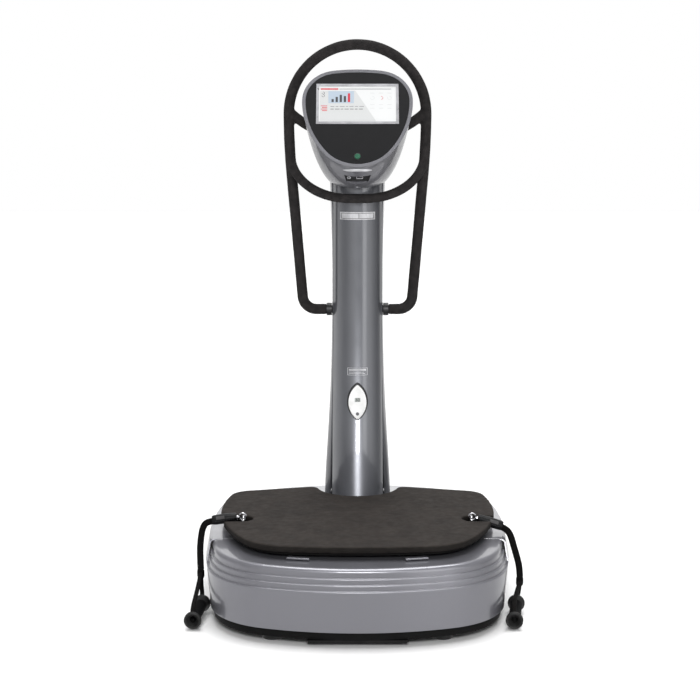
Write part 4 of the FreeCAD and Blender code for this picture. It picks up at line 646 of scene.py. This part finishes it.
FACE_LEAN = math.radians(57)
FACE_FOOT = Vector((0, 0.086, 1.204))
FACE_UP = Vector((0, math.cos(FACE_LEAN), math.sin(FACE_LEAN)))
FACE_OUT = Vector((0, -math.sin(FACE_LEAN), math.cos(FACE_LEAN)))
SCREEN_UP = 0.195
PRINT_LIFT = -0.00035       # just proud of the screen panel
PRINT_THICK = 0.00015


def on_face(x, up, out):
    """A place on the console's face, from the screen's centre."""
    return FACE_FOOT + Vector((x, 0, 0)) + FACE_UP * (SCREEN_UP + up) + FACE_OUT * out


def printed(shape, outline, ink, out=PRINT_LIFT):
    """A thin printed area of the screen: an outline of (x, up) points in one ink."""
    low = [shape.verts.new(on_face(x, up, out)) for x, up in outline]
    high = [shape.verts.new(on_face(x, up, out + PRINT_THICK)) for x, up in outline]
    faces = [shape.faces.new(high)]
    for i in range(len(outline)):
        k = (i + 1) % len(outline)
        faces.append(shape.faces.new((low[i], low[k], high[k], high[i])))
    for face in faces:
        face.material_index = ink


def block(x, up, width, height, corner=0.0008):
    """A rounded rectangle's outline, centred on (x, up)."""
    points = []
    for sx, sy, first in ((1, 1, 0), (-1, 1, 90), (-1, -1, 180), (1, -1, 270)):
        for step in (0, 45, 90):
            turn = math.radians(first + step)
            points.append((x + sx * (width / 2 - corner) + corner * math.cos(turn),
                           up + sy * (height / 2 - corner) + corner * math.sin(turn)))
    return points


def ring_slices(x, up, radius, thick, share, count=28):
    """A thin ring, or part of one, as small blocks that touch."""
    slices = []
    for i in range(round(count * share)):
        a = math.tau * (0.25 - i / count)
        b = math.tau * (0.25 - (i + 1) / count)
        slices.append([(x + r * math.cos(t), up + r * math.sin(t))
                       for r, t in ((radius, b), (radius, a), (radius - thick, a),
                                    (radius - thick, b))])
    return slices


def lit_ink(name, colour):
    """A lit screen colour."""
    found = principled(name, colour, 0.3, {"Emission Color": (*colour, 1),
                                           "Emission Strength": 0.10})
    dark = [c * 0.94 for c in colour]
    vary_colour(found, noise(found, 1800, 0.0), dark, colour)
    bump(found, noise(found, 3000, 1.0), 0.00001, 0.3)
    return found


INKS = [lit_ink("ink_red", (0.55, 0.02, 0.04)), lit_ink("ink_dark", (0.05, 0.05, 0.055)),
        lit_ink("ink_grey", (0.20, 0.20, 0.21)), lit_ink("ink_pale", (0.55, 0.56, 0.56)),
        lit_ink("ink_blue", (0.40, 0.47, 0.55))]
RED, DARK, GREY, PALE, BLUE = range(5)
BACK_LIFT = PRINT_LIFT - 0.0001     # the ground behind the chart
FRONT_LIFT = PRINT_LIFT + 0.0002    # the chart's columns
CHART_HEIGHTS = (0.010, 0.017, 0.024, 0.020, 0.029)
DASH_ROWS = ((11, 8, 14, 6, 12, 9, 13), (9, 13, 7, 12, 10, 8, 11))      # millimetres
DIAL_SHARES = (0.7, 0.45, 0.85)

content = bmesh.new()
# a pale ground with a slanted edge, under a red and a grey bar
printed(content, [(-0.106, -0.056), (0.052, -0.056), (-0.006, 0.044), (-0.106, 0.044)],
        PALE, BACK_LIFT)
printed(content, block(-0.079, 0.0495, 0.050, 0.0042), RED)
printed(content, block(0.022, 0.0495, 0.146, 0.0018, 0.0005), GREY)
# a column chart, its last column red
printed(content, block(-0.046, 0.0225, 0.072, 0.040, 0.0015), BLUE)
for index, height in enumerate(CHART_HEIGHTS):
    printed(content, block(-0.070 + 0.0115 * index, 0.006 + height / 2, 0.0065, height),
            RED if index == 4 else DARK, FRONT_LIFT)
# two small rings left of the chart
for up in (0.036, 0.027):
    for slice_points in ring_slices(-0.0965, up, 0.0042, 0.0011, 0.8):
        printed(content, slice_points, DARK)
# two rows of dashes under the chart
for row, dashes in enumerate(DASH_ROWS):
    left = -0.076
    for dash in dashes:
        printed(content, block(left + dash / 2000, -0.0085 - 0.0085 * row, dash / 1000,
                               0.0018, 0.0005), DARK if row else GREY)
        left += dash / 1000 + 0.0035
# four short red bars left of the dashes
for row in range(4):
    printed(content, block(-0.094 + 0.0015 * (row % 2), -0.0065 - 0.0052 * row,
                           0.018 - 0.003 * (row % 2), 0.0022, 0.0006), RED)
# three dials on the right, with dashes above and below them
for index, share in enumerate(DIAL_SHARES):
    for slice_points in ring_slices(0.042 + 0.024 * index, 0.020, 0.0060, 0.0011, share):
        printed(content, slice_points, RED if index == 1 else PALE)
for up in (0.036, -0.002, -0.014):
    for x in (0.042, 0.066, 0.090):
        printed(content, block(x, up, 0.012, 0.0014, 0.0004), PALE)
screen_content = new_piece("screen_content", to_mesh("screen_content", content),
                           "base", INKS)


def surface_point(node, start, ahead):
    """Where a line first meets a CAD node, and the surface's normal there."""
    found, spot, normal, face = nodes[node].ray_cast(Vector(start),
                                                     Vector(ahead).normalized())
    if not found:
        raise RuntimeError("no surface of %s at %s" % (node, tuple(start)))
    return spot, normal


# a finger ledge on the chin, under the face, in bright foil rather than the shell's paint: a
# painted highlight along the chin
LEDGE_HEIGHT = 1.187
LEDGE_STEP = 0.005
LEDGE_SECTION = circle(0.0062, 20, 0.8)


def ledge_swell(along):
    """Even along the middle, thin at both ends."""
    return max(0.25, 1 - abs(2 * along - 1) ** 5)


ledge_line = []
for i in range(-8, 9):
    spot, normal = surface_point("console_shell", (LEDGE_STEP * i, -OUTSIDE, LEDGE_HEIGHT),
                                 (0, 1, 0))
    ledge_line.append(spot)
ledge = new_piece("chin_ledge",
                  sweep("chin_ledge", ledge_line, LEDGE_SECTION, swell=ledge_swell),
                  "base", [label_foil])

# a ring round the start button
BUTTON_UP = 0.024
COLLAR_PROFILE = [(0.0086, 0.0), (0.0088, 0.0006), (0.0098, 0.0007), (0.0104, 0.0)]

collar = turned("button_collar", COLLAR_PROFILE, FACE_FOOT + FACE_UP * BUTTON_UP, FACE_OUT)
new_piece("button_collar", collar, "base", [trim_black])

# bright rims round the socket and the jack, on the leaning socket panel
PANEL_TILT = math.radians(42)
PANEL_SPOT = Vector((0, 0.1325, 1.1645))
PANEL_UP = Vector((0, math.cos(PANEL_TILT), -math.sin(PANEL_TILT)))
PANEL_OUT = Vector((0, -math.sin(PANEL_TILT), -math.cos(PANEL_TILT)))
JACK_X = -0.024
JACK_PROFILE = [(0.0034, 0.0002), (0.0034, 0.0018), (0.0050, 0.0018), (0.0054, 0.0002),
                (0.0034, 0.0002)]
SOCKET_CENTRE = (0.006, -0.00175)
SOCKET_RIM = (0.0185, 0.0105)
RIM_STEPS = ((0.0, 0.0002), (0.0, 0.0022), (0.0022, 0.0022), (0.0022, 0.0002))   # inward, out


def on_panel(x, up, out):
    """A place on the socket panel."""
    return PANEL_SPOT + Vector((x, 0, 0)) + PANEL_UP * up + PANEL_OUT * out


rim_shape = bmesh.new()
for inward, out in RIM_STEPS:
    outline = block(*SOCKET_CENTRE, SOCKET_RIM[0] - inward, SOCKET_RIM[1] - inward, 0.0012)
    for x, up in outline:
        rim_shape.verts.new(on_panel(x, up, out))
rim_shape.verts.ensure_lookup_table()
around = len(rim_shape.verts) // len(RIM_STEPS)
for ring in range(len(RIM_STEPS)):
    after = (ring + 1) % len(RIM_STEPS)
    for i in range(around):
        k = (i + 1) % around
        rim_shape.faces.new([rim_shape.verts[j] for j in (
            ring * around + i, ring * around + k, after * around + k, after * around + i)])
rim_mesh = to_mesh("socket_rim", rim_shape)
new_piece("socket_rim", rim_mesh, "base", [label_foil])
jack_ring = turned("jack_ring", JACK_PROFILE, on_panel(JACK_X, 0, 0), PANEL_OUT, 28)
new_piece("jack_ring", jack_ring, "base", [label_foil])


# Blank labels -----------------------------------------------------------------

LABEL_LINE = 0.0012
LABEL_MARGIN = 0.003
NOTICE_RISE = 0.0475        # the notice's top, above the remote's
NOTICE_SIZE = (0.058, 0.022)


def bent_bars(name, node, bars, look, thick=0.0004, step=0.006):
    """Thin printed bars bent over a node's front, as (x0, x1, z0, z1) rectangles."""
    shape = bmesh.new()
    for x0, x1, z0, z1 in bars:
        count = max(1, math.ceil((x1 - x0) / step))
        rings = []
        for i in range(count + 1):
            x = x0 + (x1 - x0) * i / count
            low, outward = surface_point(node, (x, -OUTSIDE, z0), (0, 1, 0))
            high, outward = surface_point(node, (x, -OUTSIDE, z1), (0, 1, 0))
            corners = ((low, -thick / 2), (low, thick), (high, thick), (high, -thick / 2))
            rings.append([shape.verts.new(spot + outward * lift) for spot, lift in corners])
        for a, b in zip(rings, rings[1:]):
            for j in range(4):
                k = (j + 1) % 4
                shape.faces.new((a[j], b[j], b[k], a[k]))
        shape.faces.new(rings[0])
        shape.faces.new(list(reversed(rings[-1])))
    return new_piece(name, to_mesh(name, shape), "base", [look])


def frame_bars(x0, x1, z0, z1, line):
    """The four bars of a rectangular outline."""
    return [(x0, x1, z0, z0 + line), (x0, x1, z1 - line, z1),
            (x0, x0 + line, z0 + line, z1 - line), (x1 - line, x1, z0 + line, z1 - line)]


plate_low, plate_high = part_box("label_plate")
plate_bars = frame_bars(plate_low.x + LABEL_MARGIN, plate_high.x - LABEL_MARGIN,
                        plate_low.z + LABEL_MARGIN, plate_high.z - LABEL_MARGIN, LABEL_LINE)
plate_bars.append((0.0035, 0.0035 + LABEL_LINE, plate_low.z + 0.0045,
                   plate_high.z - 0.0045))
bent_bars("label_lines", "label_plate", plate_bars, trim_black)
notice_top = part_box("remote_shell")[1].z + NOTICE_RISE
notice_bars = frame_bars(-NOTICE_SIZE[0] / 2, NOTICE_SIZE[0] / 2,
                         notice_top - NOTICE_SIZE[1], notice_top, LABEL_LINE)
notice_bars += [(-0.025, 0.025, notice_top - 0.0085, notice_top - 0.004),
                (-0.025, 0.018, notice_top - 0.0135, notice_top - 0.0120),
                (-0.025, 0.022, notice_top - 0.0175, notice_top - 0.0160)]
bent_bars("notice_lines", "column_front_cover", notice_bars, label_foil)


# Remote digits ----------------------------------------------------------------

# a segment's centre in digit reaches from the digit's middle, and if it lies flat
SEGMENTS = {"top": (0, 1, True), "middle": (0, 0, True), "bottom": (0, -1, True),
            "upper_left": (-1, 0.5, False), "upper_right": (1, 0.5, False),
            "lower_left": (-1, -0.5, False), "lower_right": (1, -0.5, False)}
DIGITS = {3: ("top", "middle", "bottom", "upper_right", "lower_right"),
          0: ("top", "bottom", "upper_left", "upper_right", "lower_left", "lower_right")}
DIGIT_PLACES = ((3, -0.0034), (0, 0.0034))
DIGIT_REACH = (0.0018, 0.0036)
DIGIT_RAISE = 0.0002
DIGIT_THICK = 0.0003
SEGMENT_LINE = 0.0009
SEGMENT_LENGTHS = (0.0030, 0.0032)      # flat, upright


def upright_block(shape, x, z, width, height, front, thick):
    """A thin upright block on a surface that faces the front."""
    place = (Matrix.Translation((x, front + thick / 2, z))
             @ Matrix.Diagonal((width, thick, height, 1)))
    bmesh.ops.create_cube(shape, size=1, matrix=place)


digit_shape = bmesh.new()
digit_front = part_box("remote_display")[0].y - DIGIT_RAISE
digit_height = middle("remote_display").z
for digit, x in DIGIT_PLACES:
    for segment in DIGITS[digit]:
        across, up, flat = SEGMENTS[segment]
        width = SEGMENT_LENGTHS[0] if flat else SEGMENT_LINE
        height = SEGMENT_LINE if flat else SEGMENT_LENGTHS[1]
        upright_block(digit_shape, x + across * DIGIT_REACH[0],
                      digit_height + up * DIGIT_REACH[1], width, height, digit_front,
                      DIGIT_THICK)
digit_mesh = to_mesh("remote_digits", digit_shape, outward=False)
new_piece("remote_digits", digit_mesh, "remote", [trim_black])


# Screws -----------------------------------------------------------------------

SCREW_PROFILE = [(0.0, -0.0012), (0.0019, -0.0012), (0.0019, 0.0010), (0.0034, 0.0011),
                 (0.0042, 0.0005), (0.0043, -0.0005)]
SCREW_SIDES = 20
# on the machine's rear, as a node with the screw's x and z
SCREWS = [("rear_cover", x, 0.100) for x in (-0.235, 0.235)]
SCREWS += [("column_rear_cover", x, z) for z in (0.30, 0.62, 0.92, 1.10)
           for x in (-0.030, 0.030)]
SCREWS += [("inlet_panel", x, z) for x in (-0.0445, 0.0445) for z in (0.0715, 0.1185)]
for number, (node, x, z) in enumerate(SCREWS):
    spot, normal = surface_point(node, (x, OUTSIDE, z), (0, -1, 0))
    screw = new_piece("screw_%d" % number,
                      turned("screw_%d" % number, SCREW_PROFILE, spot, normal, SCREW_SIDES),
                      "base", [zinc])


# Studio -----------------------------------------------------------------------

def area_light(name, place, aim, size, power):
    """A soft box at a place, turned towards its aim."""
    data = bpy.data.lights.new(name, "AREA")
    data.shape = "RECTANGLE"
    data.size = size[0]
    data.size_y = size[1]
    data.energy = power
    lamp = bpy.data.objects.new(name, data)
    lamp.location = place
    direction = Vector(aim) - Vector(place)
    lamp.rotation_euler = direction.to_track_quat("-Z", "Y").to_euler()
    lamp.visible_camera = False
    scene.collection.objects.link(lamp)
    return lamp


def floor_mesh(half):
    """The studio floor, a plane with enough faces to shade evenly."""
    shape = bmesh.new()
    bmesh.ops.create_grid(shape, x_segments=8, y_segments=8, size=half)
    return to_mesh("floor", shape, outward=False)


floor_paint = principled("floor_paint", (0.9, 0.9, 0.9), 0.85)
floor = bpy.data.objects.new("floor", floor_mesh(14.0))
floor.data.materials.append(floor_paint)
floor.visible_glossy = False
scene.collection.objects.link(floor)

ROOM_LIGHT = 4.0            # the brightest level that the world's ramps can give
FLOOR_TONE = (0.23, 0.23, 0.23, 1)
# what the machine mirrors: brightness by degrees round from the front
SIDE_BANDS = [(-180, 0.9), (-136, 0.9), (-112, 1.2), (-86, 1.0), (-66, 0.5), (-50, 0.42),
              (-26, 0.9), (-10, 0.8), (2, 0.5), (20, 0.5), (27, 3.0), (36, 2.9), (45, 1.3),
              (62, 1.15), (80, 0.5), (98, 0.16), (116, 0.35), (138, 1.0), (180, 1.0)]
RAISED_BANDS = [(-180, 1.5), (-160, 1.1), (-144, 0.4), (-60, 0.45), (-26, 0.9), (2, 0.5),
                (20, 0.5), (27, 2.6), (36, 2.5), (45, 1.2), (62, 0.6), (144, 0.4), (160, 1.1),
                (180, 1.5)]


def world_ramp(factor, low, high, stops):
    """A brightness that follows the stops as the factor goes from low to high."""
    spread = add(world, "ShaderNodeMapRange", {"Value": factor, "From Min": low,
                                               "From Max": high})
    node = add(world, "ShaderNodeValToRGB", {"Fac": spread.outputs["Result"]})
    set_stops(node.color_ramp.elements,
              [((place - low) / (high - low), [level / ROOM_LIGHT] * 3)
               for place, level in stops])
    return node.outputs["Color"]


world = bpy.data.worlds.new("studio")
world.use_nodes = True
world.node_tree.nodes.clear()
place_seen = add(world, "ShaderNodeTexCoord").outputs["Generated"]
look_at = add(world, "ShaderNodeSeparateXYZ", {"Vector": place_seen}).outputs
towards_front = add(world, "ShaderNodeMath", {0: look_at["Y"], 1: -1.0},
                    operation="MULTIPLY").outputs["Value"]
turn_round = add(world, "ShaderNodeMath", {0: look_at["X"], 1: towards_front},
                 operation="ARCTAN2").outputs["Value"]
degrees_round = add(world, "ShaderNodeMath", {0: turn_round},
                    operation="DEGREES").outputs["Value"]
level_bands = world_ramp(degrees_round, -180, 180, SIDE_BANDS)
raised_bands = world_ramp(degrees_round, -180, 180, RAISED_BANDS)
raised_part = world_ramp(look_at["Z"], -1, 1, [(-1, 0), (-0.06, 0), (0.08, ROOM_LIGHT),
                                               (1, ROOM_LIGHT)])
bands = mixed(world, raised_part, level_bands, raised_bands)
low_part = world_ramp(look_at["Z"], -1, 1, [(-1, ROOM_LIGHT), (-0.31, ROOM_LIGHT),
                                            (-0.27, 0), (1, 0)])
high_part = world_ramp(look_at["Z"], -1, 1, [(-1, 0), (0.45, 0), (0.7, ROOM_LIGHT),
                                             (1, ROOM_LIGHT)])
open_air = world_ramp(look_at["Y"], -1, 1, [(-1, 0.3), (0, 0.4), (1, 0.5)])
near_floor = mixed(world, low_part, bands, FLOOR_TONE)
mirrored_room = mixed(world, high_part, near_floor, open_air)
soft_room = world_ramp(look_at["Y"], -1, 1, [(-1, 0.32), (0.2, 0.5), (1, 0.6)])
path = add(world, "ShaderNodeLightPath").outputs
room = mixed(world, path["Is Glossy Ray"], soft_room, mirrored_room)
lit_room = add(world, "ShaderNodeBackground", {"Color": room, "Strength": ROOM_LIGHT})
backdrop = add(world, "ShaderNodeBackground", {"Color": (1, 1, 1, 1), "Strength": 1.0})
seen = add(world, "ShaderNodeMixShader", {"Fac": path["Is Camera Ray"],
                                          1: lit_room.outputs["Background"],
                                          2: backdrop.outputs["Background"]})
add(world, "ShaderNodeOutputWorld", {"Surface": seen.outputs["Shader"]})
scene.world = world

SUN_FROM = (0.04, 0.13, 0.99)
sun_data = bpy.data.lights.new("overhead", "SUN")
sun_data.angle = math.radians(46)
sun_data.energy = 2.8
sun = bpy.data.objects.new("overhead", sun_data)
sun.rotation_euler = Vector(SUN_FROM).to_track_quat("Z", "Y").to_euler()
scene.collection.objects.link(sun)

area_light("front_box", (0.1, -4.0, 2.3), (0, 0, 0.7), (1.5, 0.8), 85)

# a narrow strip light that only the column mirrors
glare = area_light("column_strip", (0.015, -0.8, 0.15), (0.015, 0.2, 0.15), (0.26, 0.33), 11)
column_only = bpy.data.collections.new("column_only")
column_only.objects.link(nodes["column_front_cover"])
glare.light_linking.receiver_collection = column_only
glare.light_linking.blocker_collection = column_only

scene.view_settings.view_transform = "Standard"
